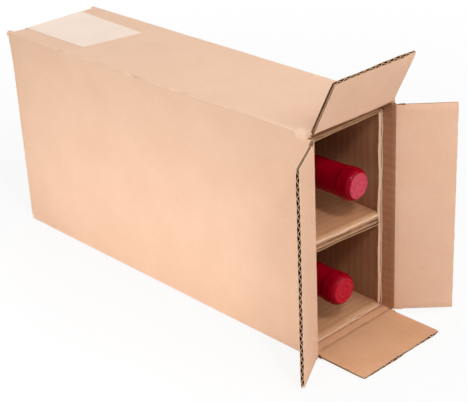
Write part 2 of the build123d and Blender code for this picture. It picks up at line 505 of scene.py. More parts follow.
class MaterialDesk(NodeDesk):
    """Builds one material's nodes."""

    def __init__(self, name: str) -> None:
        """Start an empty material of this name.

        Args:
            name: the material's name.
        """
        self.material = bpy.data.materials.new(name)
        self.material.use_nodes = True
        super().__init__(self.material.node_tree)

    def mix(self, share: object, first: object, second: object) -> bpy.types.NodeSocket:
        """Colour between two colours, by a share from 0 to 1."""
        inputs = {0: share, 6: first, 7: second}
        return self.add("ShaderNodeMix", inputs, data_type="RGBA").outputs[2]

    def grain(self, spot: bpy.types.NodeSocket, scale: float, detail: float = 3.0,
              stretch: tuple[float, float, float] = (1.0, 1.0, 1.0)) -> bpy.types.NodeSocket:
        """Noise over a place.

        Args:
            spot: where it is read.
            scale: cycles in a metre.
            detail: octaves.
            stretch: factors on the three coordinates.

        Returns:
            The noise, about 0 to 1.
        """
        if stretch != (1.0, 1.0, 1.0):
            spot = self.add("ShaderNodeMapping", {"Vector": spot, "Scale": stretch}).outputs[0]
        return self.add("ShaderNodeTexNoise", {"Vector": spot, "Scale": scale, "Detail": detail,
                                               "Roughness": 0.6}).outputs[0]

    def ramp(self, share: bpy.types.NodeSocket, low: float, high: float) -> bpy.types.NodeSocket:
        """Share of the way from a low value to a high one, held between 0 and 1."""
        return self.add("ShaderNodeMapRange", {"Value": share, "From Min": low,
                                               "From Max": high}).outputs[0]

    def layer(self, name: str) -> bpy.types.NodeSocket:
        """One of the mesh's own values."""
        return self.add("ShaderNodeAttribute", None, attribute_name=name).outputs["Fac"]

    def place(self) -> bpy.types.NodeSocket:
        """The object's own coordinates."""
        return self.add("ShaderNodeTexCoord").outputs["Object"]

    def bump(self, height: bpy.types.NodeSocket, strength: float) -> bpy.types.NodeSocket:
        """Normal of a surface that has this height, in metres."""
        inputs = {"Height": height, "Strength": strength, "Distance": 1.0}
        return self.add("ShaderNodeBump", inputs).outputs[0]

    def close(self, base: bpy.types.NodeSocket, roughness: float, normal: bpy.types.NodeSocket,
              specular: float) -> bpy.types.Material:
        """End in a Principled shader.

        Args:
            base: its colour.
            roughness: how matt it is, 0 to 1.
            normal: its bumped normal.
            specular: how strongly it reflects.

        Returns:
            The finished material.
        """
        shader = self.add("ShaderNodeBsdfPrincipled", {"Base Color": base, "Roughness": roughness,
                                                       "Normal": normal,
                                                       "Specular IOR Level": specular})
        self.add("ShaderNodeOutputMaterial", {"Surface": shader.outputs[0]})
        return self.material


# Finishes

@dataclass(frozen=True)
class KraftPaper:
    """Facing paper of corrugated board: fibres, faint blotches and shadows of the flutes.

    Fields:
        name: the material's name.
        colour: the paper.
        deeper: the paper in its darker blotches.
        rubbed: the paper where it is folded or worn, and in part a painted highlight on upper folds.
        marked: small scuffs.
        flute_pitch: distance between flutes, in mm.
        flute_shade: how much the flutes darken the paper, 0 to 1.
        flute_bump: how far the flutes stand out, in metres.
    """

    name: str
    colour: Colour
    deeper: Colour
    rubbed: Colour
    marked: Colour
    flute_pitch: float = 7.8
    flute_shade: float = 0.03
    flute_bump: float = 0.00003

    def material(self) -> bpy.types.Material:
        """Build the material.

        Returns:
            The material.
        """
        desk = MaterialDesk(self.name)
        spot = desk.place()
        wave = desk.maths("SINE", desk.times(desk.layer("across"), ROUND / self.flute_pitch))
        blotch = desk.ramp(desk.grain(spot, 22.0, 4.0), 0.35, 0.72)
        fibre = desk.grain(spot, 900.0, 2.0, (1.0, 1.0, 0.35))
        speck = desk.ramp(desk.grain(spot, 420.0, 1.0), 0.7, 0.78)
        mark = desk.ramp(desk.grain(spot, 130.0, 3.0, (1.0, 1.0, 0.6)), 0.67, 0.76)
        graze = desk.ramp(desk.grain(spot, 190.0, 2.0, (0.5, 0.8, 1.5)), 0.68, 0.76)
        shade = desk.times(desk.plus(wave, 1.0), self.flute_shade * 0.5)
        dark = desk.plus(desk.times(blotch, 0.55), shade)
        dark = desk.plus(dark, desk.times(desk.ramp(fibre, 0.35, 0.7), 0.3))
        dark = desk.add("ShaderNodeClamp", {"Value": dark}).outputs[0]
        base = desk.mix(dark, self.colour, self.deeper)
        for share, strength, other in ((speck, 0.25, self.deeper), (mark, 0.45, self.marked),
                                       (graze, 0.4, self.rubbed)):
            base = desk.mix(desk.times(share, strength), base, other)
        # Mixes in the rubbed colour by the rubbing layer: real rubbing, and a painted highlight on the
        # walls' upper folds.
        base = desk.mix(desk.layer("wear_and_shading"), base, self.rubbed)
        height = desk.times(wave, self.flute_bump)
        height = desk.plus(height, desk.times(fibre, 0.00005))
        height = desk.plus(height, desk.times(blotch, 0.00012))
        return desk.close(base, 0.82, desk.bump(height, 0.6), 0.25)


@dataclass(frozen=True)
class CutBoard:
    """Cut edge of the board: pale paper lines with fluted paper and shadow between.

    Fields:
        name: the material's name.
        liner: the facing papers, seen on edge.
        inside: the shadow between them.
        flute_pitch: distance between flutes, in mm, or 0 where the cut runs along them.
    """

    name: str
    liner: Colour
    inside: Colour
    flute_pitch: float = 7.6

    def material(self) -> bpy.types.Material:
        """Build the material.

        Returns:
            The material.
        """
        desk = MaterialDesk(self.name)
        centred = desk.maths("SUBTRACT", desk.layer("through"), 0.5)
        rough = desk.grain(desk.place(), 500.0, 3.0)
        sheet = desk.ramp(desk.maths("ABSOLUTE", centred), 0.34, 0.38)
        if self.flute_pitch:
            turn = desk.times(desk.layer("across"), ROUND / self.flute_pitch)
            middle = desk.times(desk.maths("SINE", turn), 0.36)
            gap = desk.maths("ABSOLUTE", desk.maths("SUBTRACT", centred, middle))
            sheet = desk.maths("MAXIMUM", sheet, desk.ramp(gap, 0.13, 0.07))
        ragged = desk.times(desk.ramp(rough, 0.45, 0.6), 0.35)
        sheet = desk.maths("MAXIMUM", desk.maths("MAXIMUM", sheet, ragged), desk.layer("wear_and_shading"))
        base = desk.mix(sheet, self.inside, self.liner)
        return desk.close(base, 0.9, desk.bump(desk.times(sheet, 0.0006), 0.8), 0.15)


@dataclass(frozen=True)
class PlainPaper:
    """Cut or fluted paper seen close: one brown with fibres, and painted shade away from the cut edge
    where it is given.

    Fields:
        name: the material's name.
        colour: the paper.
        deeper: its darker fibres.
        deep_shade: painted shade on the paper away from the cut edge, where it is given.
    """

    name: str
    colour: Colour
    deeper: Colour
    deep_shade: Colour | None = None

    def material(self) -> bpy.types.Material:
        """Build the material.

        Returns:
            The material.
        """
        desk = MaterialDesk(self.name)
        fibre = desk.grain(desk.place(), 700.0, 3.0)
        base = desk.mix(desk.ramp(fibre, 0.35, 0.75), self.colour, self.deeper)
        # Painted shade: paper away from the cut edge takes the darker colour; the rubbing layer is 1 at
        # the edge.
        base = desk.mix(desk.layer("wear_and_shading"), self.deep_shade, base) if self.deep_shade else base
        return desk.close(base, 0.88, desk.bump(desk.times(fibre, 0.0002), 0.6), 0.2)


@dataclass(frozen=True)
class PaperTape:
    """Pale gummed tape, smoother than the board, with faint creases.

    Fields:
        name: the material's name.
        colour: the tape.
        deeper: the board that shows through where it sticks less.
    """

    name: str
    colour: Colour
    deeper: Colour

    def material(self) -> bpy.types.Material:
        """Build the material.

        Returns:
            The material.
        """
        desk = MaterialDesk(self.name)
        spot = desk.place()
        cloud = desk.ramp(desk.grain(spot, 30.0, 4.0), 0.42, 0.75)
        crease = desk.grain(spot, 120.0, 2.0, (0.25, 1.0, 1.0))
        dark = desk.plus(desk.times(cloud, 0.35), desk.times(desk.layer("wear_and_shading"), 0.5))
        base = desk.mix(dark, self.colour, self.deeper)
        return desk.close(base, 0.6, desk.bump(desk.times(crease, 0.00012), 0.5), 0.15)


@dataclass(frozen=True)
class DarkGlass:
    """Bottle glass that looks nearly black when it is full.

    Fields:
        name: the material's name.
        colour, deeper: the two tones that it wanders between.
    """

    name: str
    colour: Colour
    deeper: Colour

    def material(self) -> bpy.types.Material:
        """Build the material.

        Returns:
            The material.
        """
        desk = MaterialDesk(self.name)
        wander = desk.grain(desk.place(), 35.0, 2.0)
        base = desk.mix(desk.ramp(wander, 0.3, 0.7), self.colour, self.deeper)
        return desk.close(base, 0.07, desk.bump(desk.times(wander, 0.0008), 0.15), 0.6)


@dataclass(frozen=True)
class CapsuleFoil:
    """Shrunk plastic foil over a bottle's neck: deep red, satin, faintly wrinkled.

    Fields:
        name: the material's name.
        colour: the foil on the neck.
        disc: the foil on the end disc, whose lighter pink is partly a painted reflection.
        disc_from: distance from the bottle's base where the end disc's tone starts, in mm.
        deeper: the foil on the neck in its darker clouds.
    """

    name: str
    colour: Colour
    disc: Colour
    disc_from: float = 324.55
    deeper: Colour = tone(88, 0, 18)

    def material(self) -> bpy.types.Material:
        """Build the material.

        Returns:
            The material.
        """
        desk = MaterialDesk(self.name)
        spot = desk.place()
        end = desk.ramp(desk.layer("along"), self.disc_from - 0.5, self.disc_from)
        cloud = desk.ramp(desk.grain(spot, 90.0, 3.0), 0.35, 0.7)
        pressed = desk.ramp(desk.grain(spot, 420.0, 3.0), 0.35, 0.65)
        folds = desk.grain(spot, 260.0, 2.0, (0.12, 1.0, 1.0))
        body = desk.mix(desk.times(cloud, 0.4), self.colour, self.deeper)
        face = desk.mix(desk.times(pressed, 0.45), self.disc, self.colour)
        grained = desk.times(desk.times(pressed, end), 0.0004)
        height = desk.plus(desk.times(folds, 0.0002), grained)
        return desk.close(desk.mix(end, body, face), 0.08, desk.bump(height, 0.35), 0.06)


@dataclass(frozen=True)
class StudioFloor:
    """A pale floor that is white to the camera and keeps a soft shadow.

    Fields:
        name: the material's name.
        colour: the floor under the lamps.
        camera_share: how much plain white the camera sees near the object.
        shadow_reach: how far the shadow is kept before it fades to white, in metres.
    """

    name: str
    colour: Colour
    camera_share: float
    shadow_reach: float = 0.34

    def material(self) -> bpy.types.Material:
        """Build the material.

        Returns:
            The material.
        """
        desk = MaterialDesk(self.name)
        lit = desk.add("ShaderNodeBsdfDiffuse", {"Color": self.colour})
        white = desk.add("ShaderNodeEmission", {"Color": (1, 1, 1, 1), "Strength": 1.0})
        away = desk.add("ShaderNodeVectorMath", {0: desk.place()}, operation="LENGTH")
        fade = desk.ramp(away.outputs["Value"], self.shadow_reach, 2.5 * self.shadow_reach)
        fade = desk.maths("MULTIPLY_ADD", fade, 1.0 - self.camera_share, self.camera_share)
        share = desk.times(desk.seen(), fade)
        mixed = desk.add("ShaderNodeMixShader", {0: share, 1: lit.outputs[0], 2: white.outputs[0]})
        desk.add("ShaderNodeOutputMaterial", {"Surface": mixed.outputs[0]})
        return desk.material


@dataclass
class Finishes:
    """All materials, made once.

    Fields:
        outer, inner, inside: the carton's paper outside, on the flaps' inner side, and inside, where it
            is darker as painted shade.
        inner_deep: the bottom flap's inner side.
        insert, insert_wall_painted_shade: the insert's paper, and the same paper, darker as painted
            shade, on its upright walls.
        edge, painted_shade_edge: cut edges of facing papers, pale, and darker as painted shade.
        medium: fluted paper, near black away from the cut edge as painted shade.
        cut, groove: cut board, across its flutes and along them.
        torn: torn paper.
        tape: the closing tape.
        glass, foil_upper, foil_lower: the bottles and their two capsules.
        floor: the studio's floor.
    """

    outer: bpy.types.Material = field(default_factory=KraftPaper(
        "outer_kraft", tone(240, 200, 171), tone(232, 190, 160), tone(252, 213, 184),
        tone(214, 170, 140)).material)
    inner: bpy.types.Material = field(default_factory=KraftPaper(
        "inner_kraft", tone(235, 194, 165), tone(227, 182, 151), tone(238, 198, 168),
        tone(208, 162, 132)).material)
    inner_deep: bpy.types.Material = field(default_factory=KraftPaper(
        "bottom_flap_kraft", tone(224, 176, 138), tone(208, 154, 116), tone(196, 142, 106),
        tone(190, 136, 100), flute_shade=0.06).material)
    # Painted shade: the carton's inside paper is darker than the flaps' inner paper, for the shade in
    # the mouth's recess.
    inside: bpy.types.Material = field(default_factory=KraftPaper(
        "inside_kraft_painted_shade", tone(188, 139, 107), tone(168, 119, 88), tone(196, 146, 114),
        tone(154, 107, 78), flute_shade=0.3, flute_bump=0.00006).material)
    insert: bpy.types.Material = field(default_factory=KraftPaper(
        "insert_kraft", tone(214, 161, 119), tone(196, 143, 103), tone(222, 178, 142),
        tone(172, 122, 86), flute_pitch=7.6, flute_shade=0.3, flute_bump=0.00008).material)
    # Painted shade: a darker copy of the insert's paper, for its upright walls.
    insert_wall_painted_shade: bpy.types.Material = field(default_factory=KraftPaper(
        "insert_wall_kraft", tone(184, 135, 100), tone(162, 114, 81), tone(208, 164, 129),
        tone(150, 104, 72), flute_pitch=7.6, flute_shade=0.35, flute_bump=0.00008).material)
    edge: bpy.types.Material = field(default_factory=PlainPaper(
        "liner_edge", tone(240, 204, 174), tone(224, 182, 148)).material)
    # Painted shade: a darker copy of the cut-edge paper, for edges that lie in shade.
    painted_shade_edge: bpy.types.Material = field(default_factory=PlainPaper(
        "liner_edge_painted_shade", tone(190, 146, 110), tone(158, 116, 84)).material)
    # Painted shade: the fluted paper is near black away from the cut edge, for the shadow inside the
    # flutes.
    medium: bpy.types.Material = field(default_factory=PlainPaper(
        "fluted_medium_painted_shade", tone(226, 184, 150), tone(198, 154, 118), tone(48, 30, 20)).material)
    cut: bpy.types.Material = field(default_factory=CutBoard(
        "cut_across_flutes", tone(216, 172, 136), tone(60, 36, 22)).material)
    groove: bpy.types.Material = field(default_factory=CutBoard(
        "cut_along_flutes", tone(220, 176, 140), tone(96, 62, 40), 0.0).material)
    torn: bpy.types.Material = field(default_factory=PlainPaper(
        "torn_paper", tone(246, 222, 200), tone(238, 206, 180)).material)
    tape: bpy.types.Material = field(default_factory=PaperTape(
        "gummed_tape", tone(239, 215, 196), tone(228, 198, 174)).material)
    glass: bpy.types.Material = field(default_factory=DarkGlass(
        "dark_glass", tone(30, 44, 22), tone(18, 30, 14)).material)
    # Painted reflection: the end discs are pinker than the foil, the upper one more so; their pressed
    # grain is the foil's own.
    foil_upper: bpy.types.Material = field(default_factory=CapsuleFoil(
        "upper_foil", tone(156, 0, 24), tone(206, 76, 95)).material)
    foil_lower: bpy.types.Material = field(default_factory=CapsuleFoil(
        "lower_foil", tone(156, 0, 26), tone(190, 30, 48)).material)
    floor: bpy.types.Material = field(default_factory=StudioFloor(
        "pale_floor", (0.86, 0.86, 0.86, 1.0), 0.87).material)


# The carton

@dataclass
class BoardSizes:
    """Sizes of the carton and its board, in mm.

    Fields:
        length, width, height: the carton outside, with every flap shut.
        board, liner, medium: thickness of the board, of a facing and of the fluted paper.
        fold_inside: radius inside a fold.
        layer_gap: between boards that lie on or pass each other.
        slot_gap: between a flap's side edge and the wall beside it.
        flute_pitch: distance between flutes.
        band_long, band_short: how far from its crease a wall's crushed band reaches.
    """

    length: float = 409.0
    width: float = 107.0
    height: float = 206.0
    board: float = 4.0
    liner: float = 0.6
    medium: float = 0.6
    fold_inside: float = 0.2
    layer_gap: float = 0.3
    slot_gap: float = 0.4
    flute_pitch: float = 7.8
    band_long: float = 6.6
    band_short: float = 7.0

    @property
    def half(self) -> float:
        """Half of the board's thickness."""
        return self.board / 2

    @property
    def slot(self) -> float:
        """From a wall's outer face to the edge of the flap beside it."""
        return self.board + self.slot_gap

    @property
    def fold(self) -> float:
        """Radius of a fold at the middle of the board."""
        return self.half + self.fold_inside

    @property
    def long_crease(self) -> float:
        """Where the near and far flaps turn, along X."""
        return self.length / 2 - self.half

    @property
    def short_crease(self) -> float:
        """Where the top and bottom flaps turn, along X."""
        return self.long_crease - self.board - self.layer_gap

    @property
    def wall(self) -> float:
        """Middle of the far wall, along Y."""
        return self.width / 2 - self.half

    @property
    def ceiling(self) -> float:
        """Middle of the top wall, along Z."""
        return self.height - self.half


@dataclass
class Swell:
    """How the board stands up and out at the near top corner of the mouth.

    Fields:
        rise: the most that it stands up, in mm.
        start, length: where along X it starts, and how far it grows.
        far_edge, spread: where across the top it ends, and how far it grows.
        foot, tall: height on the near wall where it starts, and how far it grows.
    """

    rise: float = 2.4
    start: float = 20.0
    length: float = 130.0
    far_edge: float = 38.0
    spread: float = 88.0
    foot: float = 120.0
    tall: float = 84.0

    def at(self, x: np.ndarray, y: np.ndarray, z: np.ndarray) -> np.ndarray:
        """How far the board stands up.

        Args:
            x, y, z: places on the board, in mm.

        Returns:
            The rise at each place, in mm.
        """
        along = eased((x - self.start) / self.length)
        return (self.rise * along * eased((self.far_edge - y) / self.spread)
                * eased((z - self.foot) / self.tall))


class Face(Enum):
    """The parts of the carton that have dents."""

    NEAR = "near wall"
    TOP = "top wall"
    FOLD = "fold between them"


@dataclass
class Dent:
    """A soft hollow in a wall.

    Fields:
        x, other: its centre along X and along the wall's other direction, in mm.
        reach_x, reach_other: how far it spreads each way.
        depth: how deep it is.
        face: the part of the carton that it is in.
    """

    x: float
    other: float
    reach_x: float
    reach_other: float
    depth: float
    face: Face


@dataclass
class Carton:
    """Walls, glue tab and closed end of the carton, with dents and rubbed folds, whose pale colour is
    partly a painted highlight on the upper folds.

    Fields:
        sizes, finishes: the board's sizes and the materials.
        tab_length, tab_thickness: the glue tab, as it shows inside.
        seam_gap: from the near wall's raw edge to the ground.
        fold_outer, fold_inner: radii of a fold's outside and inside.
        step: the largest cell of its grids.
        ear: how far the near top corner sticks out at the closed end.
        lean: how far that corner leans out.
        tape_bed: the tape's place underneath: its limits along Y, and its end along X.
        bed_depth: how deep the board gives way there.
        swell: how the mouth's near top corner stands up.
        dents: its hollows.
    """

    sizes: BoardSizes
    finishes: Finishes
    tab_length: float = 32.0
    tab_thickness: float = 1.9
    seam_gap: float = 0.5
    fold_outer: float = 2.1
    fold_inner: float = 0.3
    step: float = 4.0
    ear: float = 5.0
    lean: float = 2.6
    tape_bed: tuple[float, float, float] = (-34.0, 37.0, -138.0)
    bed_depth: float = 0.3
    swell: Swell = field(default_factory=Swell)
    dents: tuple[Dent, ...] = (
        Dent(174.0, -26.0, 16.0, 13.0, 2.8, Face.TOP),
        Dent(120.0, 6.0, 40.0, 22.0, 0.5, Face.TOP),
        Dent(-12.5, 206.0, 3.4, 5.0, 1.8, Face.FOLD),
        Dent(60.0, 206.0, 16.0, 4.0, 0.3, Face.FOLD),
        Dent(188.0, 206.0, 7.0, 4.0, 0.6, Face.FOLD),
        Dent(6.5, 174.0, 4.0, 5.0, 0.5, Face.NEAR),
        Dent(7.0, 84.0, 5.0, 4.0, 0.3, Face.NEAR),
        Dent(-60.0, 150.0, 30.0, 24.0, 0.35, Face.NEAR),
        Dent(150.0, 60.0, 34.0, 30.0, 0.35, Face.NEAR),
    )

    def sink(self, x: np.ndarray, y: np.ndarray, z: np.ndarray, normal_y: np.ndarray,
             normal_z: np.ndarray) -> np.ndarray:
        """How far the walls are pressed in.

        Args:
            x, y, z: places on the middle of the board, in mm.
            normal_y, normal_z: the board's outward direction there.

        Returns:
            The depth at each place, in mm, never below 0.
        """
        near = np.clip(-normal_y, 0, 1) * (normal_z > -0.5)
        top = np.clip(normal_z, 0, 1)
        both = 4 * near * top
        depth = 0.1 + 0.1 * Ripple(90.0, 3).at(x, y + 2.3 * z)
        depth = depth + 0.04 * Ripple(24.0, 8).at(x, 1.7 * y - z)
        depth = depth + both * (0.12 + 0.2 * Ripple(26.0, 5).at(x))
        for dent in self.dents:
            across = y if dent.face is Face.TOP else z
            share = {Face.NEAR: near > SQUARE_ON, Face.TOP: top > SQUARE_ON,
                     Face.FOLD: near * top > 0.01}[dent.face]
            bell = np.exp(-((x - dent.x) / dent.reach_x) ** 2
                          - ((across - dent.other) / dent.reach_other) ** 2)
            depth = depth + dent.depth * bell * share
        return np.clip(depth, 0, None)

    def flare(self, x: np.ndarray, y: np.ndarray, z: np.ndarray) -> np.ndarray:
        """How far the closed end's near top corner leans out along X, in mm."""
        back = eased((-self.sizes.short_crease + 8 - x) / 10)
        return self.lean * back * eased((-36 - y) / 12) * np.exp(-((self.sizes.height - z) / 22) ** 2)

    def walls(self) -> Sheet:
        """The wrapped strip of the four walls and the glue tab.

        Returns:
            The strip, as one sheet.
        """
        sizes = self.sizes
        tab = -sizes.wall + sizes.board
        rim = sizes.slot - sizes.half
        end = rim - 0.2
        straights = [
            [2.0, 4.0, *even_columns(self.tab_length + sizes.half, 10.0, 8.0, rim + 1.6)],
            even_columns(sizes.wall - tab, self.step, rim, rim) + [sizes.wall - tab - end],
            [end] + even_columns(sizes.ceiling - sizes.half, self.step, rim, rim)
            + [sizes.ceiling - sizes.half - end],
            [end] + even_columns(2 * sizes.wall, self.step, rim, rim) + [2 * sizes.wall - end],
            [end] + even_columns(sizes.ceiling - self.seam_gap, self.step, rim, rim - 1.5)]
        corners = [(tab, sizes.half + self.tab_length + sizes.half), (tab, sizes.half),
                   (sizes.wall, sizes.half), (sizes.wall, sizes.ceiling),
                   (-sizes.wall, sizes.ceiling), (-sizes.wall, self.seam_gap)]
        outer = folded_side(corners, sizes.half, straights, self.fold_outer, self.fold_inner)
        inner = folded_side(corners, -sizes.half, straights, self.fold_outer, self.fold_inner)
        spots = outer.spots
        flat = outer.folding == 0
        on_side = flat & (np.abs(outer.normals[:, 0]) > SQUARE_ON)
        on_level = flat & (np.abs(outer.normals[:, 1]) > SQUARE_ON)
        on_tab = on_side & (np.abs(spots[:, 0] - tab + sizes.half) < 0.1)
        back_long = -sizes.long_crease + sizes.fold
        back_short = -sizes.short_crease + sizes.fold
        front_long = sizes.long_crease - sizes.band_long
        front_short = sizes.short_crease - sizes.band_short
        count = int((front_short - back_short) / self.step)
        rows = np.concatenate([[back_long], np.linspace(back_short, front_short, count),
                               [front_long]])
        middle = (spots[:-1] + spots[1:]) / 2
        limit = sizes.width / 2 - sizes.slot + 0.05
        levels = (np.abs(middle[:, 0]) < limit) & (on_level[:-1] & on_level[1:])
        kept = np.ones((len(rows) - 1, len(middle)), bool)
        kept[0, levels] = False
        kept[-1, levels] = False
        kept[0, :5] = False
        corner = (np.abs(spots[:, 0]) > limit) & (np.abs(spots[:, 1] - sizes.height / 2)
                                                  > sizes.height / 2 - sizes.slot + 0.05)
        x = rows[:, None] + 0 * spots[None, :, 0]
        x[0, corner] = back_long - 1.9
        ear = corner & (spots[:, 0] < 0) & (spots[:, 1] > sizes.height / 2)
        x[0, ear] = back_long - self.ear
        torn = Ripple(3.0, 71).at(spots[:, 0], spots[:, 1])
        x[-1, corner] = front_long + 3.0 + 0.7 * torn[corner]
        y = 0 * x + spots[None, :, 0]
        z = 0 * x + spots[None, :, 1]
        normal_y = 0 * x + outer.normals[None, :, 0]
        normal_z = 0 * x + outer.normals[None, :, 1]
        depth = self.sink(x, y, z, normal_y, normal_z)
        near_edge, far_edge, tail_end = self.tape_bed
        tail = (spots[:, 0] > near_edge) & (spots[:, 0] < far_edge) & (outer.normals[:, 1] < -SQUARE_ON)
        depth = np.maximum(depth, np.where(tail[None, :] & (x < tail_end), self.bed_depth, 0.0))
        edge = np.minimum(np.abs(x - front_short), np.abs(x - back_short)) < 1
        depth = np.where(edge & ~corner[None, :], np.minimum(depth, 0.1), depth)
        depth[:, on_tab] = 0
        upper = np.stack([x, y - normal_y * depth, z - normal_z * depth], -1)
        lower = np.stack([x, 0 * x + inner.spots[None, :, 0], 0 * x + inner.spots[None, :, 1]], -1)
        for grid in (upper, lower):
            shift = self.flare(x, y, z)
            grid[..., 2] += self.swell.at(x, y, z) * (~on_tab)[None, :]
            grid[..., 0] -= shift
        thin = on_tab & (spots[:, 1] > sizes.board + 1)
        lower[:, thin, 1] = spots[thin, 0] + self.tab_thickness
        # The folds' pale rubbed colour is partly real rubbing and partly a painted highlight: high
        # makes it stronger on the upper folds, where the light falls.
        wear_and_shading = outer.folding[None, :] * (0.75 + 0.4 * Ripple(16.0, 2).at(x, y + z))
        high = np.clip(normal_z + 0.3, 0.15, 1)
        wear_and_shading = np.clip(wear_and_shading * high, 0, 1)
        beside = np.convolve(corner, np.ones(3), "same") > 0
        wear_and_shading[-3:, beside] = 1.0
        across = outer.run[None, :] + 0 * x
        return Sheet(upper, lower, across, wear_and_shading, kept)

    def end_flap(self, long: bool, side: float) -> Sheet:
        """One of the four folded flaps of the closed end.

        Args:
            long: whether it is one of the two outer flaps.
            side: 1 for the far or upper one, -1 for the near or lower one.

        Returns:
            The flap, as one sheet.
        """
        sizes = self.sizes
        reach = sizes.width / 2 - sizes.half - sizes.layer_gap
        if long:
            crease, level = -sizes.long_crease, sizes.wall
            spread = (sizes.slot, sizes.height - sizes.slot)
        else:
            crease, level = -sizes.short_crease, sizes.ceiling
            reach += sizes.board + sizes.layer_gap
            limit = sizes.width / 2 - sizes.slot
            spread = (-limit, limit)
        corners = [(crease + sizes.fold, level), (crease, level), (crease, level - reach)]
        columns = [[0.6, 1.2], even_columns(reach, self.step, 2.6, 2.0)]
        outer = folded_side(corners, sizes.half, columns, self.fold_outer, self.fold_inner)
        inner = folded_side(corners, -sizes.half, columns, self.fold_outer, self.fold_inner)
        rows = np.linspace(*spread, int((spread[1] - spread[0]) / self.step) + 1)
        grids = []
        spread_grid = rows[:, None] + 0 * outer.run[None, :]
        past = np.clip((outer.run - 5) / 10, 0, 1)[None, :]
        bow = 0.15 * past * np.abs(Ripple(70.0, 12 + int(side)).at(0 * spread_grid
                                                                   + outer.run, spread_grid))
        for face in (outer, inner):
            px = face.spots[:, 0][None, :] - face.normals[:, 0][None, :] * bow
            po = face.spots[:, 1][None, :] - face.normals[:, 1][None, :] * bow
            if side < 0:
                po = -po if long else sizes.height - po
            px, y, z = np.broadcast_arrays(*((px, po, spread_grid) if long
                                             else (px, spread_grid, po)))
            grids.append(np.stack([px - self.flare(px, y, z), y, z], -1))
        wear_and_shading = outer.folding[None, :] * (0.6 + 0.3 * Ripple(12.0, 4).at(spread_grid))
        return Sheet(grids[0], grids[1], spread_grid.copy(), np.clip(wear_and_shading, 0, 1), None, (0, 1, 3))

    def torn_bits(self, middle: tuple[float, float, float], outward: tuple[float, float, float],
                  count: int, seed: int) -> list[Sheet]:
        """Curled scraps of torn paper at a corner of the mouth.

        Args:
            middle: where they grow from, in mm.
            outward: the way that they stand out.
            count: how many there are.
            seed: picks their shapes.

        Returns:
            One small sheet for each scrap.
        """
        draw = np.random.RandomState(seed)
        scraps = []
        for _ in range(count):
            start = np.array(middle) + draw.uniform(-1.6, 1.6, 3)
            heading = np.array(outward) + draw.uniform(-0.7, 0.7, 3)
            heading /= np.linalg.norm(heading)
            across = np.cross(heading, draw.uniform(-1, 1, 3))
            across /= np.linalg.norm(across)
            lift = np.cross(heading, across)
            length, width, curl = draw.uniform(1.6, 3.2), draw.uniform(1.0, 2.0), draw.uniform(-1, 1)
            run, spread = np.meshgrid(np.linspace(0, 1, 7), np.linspace(-1, 1, 5), indexing="ij")
            narrow = 1 - 0.55 * run ** 2 + 0.12 * Ripple(0.4, seed + 3).at(run)
            points = (start + (run * length)[..., None] * heading
                      + (spread * width / 2 * narrow)[..., None] * across
                      + (curl * 1.4 * run ** 2 + 0.3 * spread ** 2)[..., None] * lift)
            scraps.append(Sheet(points + 0.14 * lift, points - 0.14 * lift, spread.copy(),
                                0 * run, None, (4, 4, 4)))
        return scraps

    def build(self) -> bpy.types.Object:
        """Make the carton's body and dress it.

        Returns:
            The body.
        """
        sizes = self.sizes
        sheets = [self.walls()]
        sheets += self.torn_bits((sizes.short_crease + 0.5, -sizes.wall - 0.6, sizes.height - 0.5
                                  + self.swell.rise * 0.8), (0.35, -0.5, 0.35), 8, 5)
        for long in (True, False):
            for side in (1.0, -1.0):
                sheets.append(self.end_flap(long, side))
        look = self.finishes
        # Painted shade: the walls' and end flaps' inside faces take the darker inside paper.
        body = sheets_object("carton_board", sheets, [look.outer, look.inside, look.cut,
                                                      look.groove, look.torn])
        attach(body, "carton")
        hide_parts("carton_body")
        return body


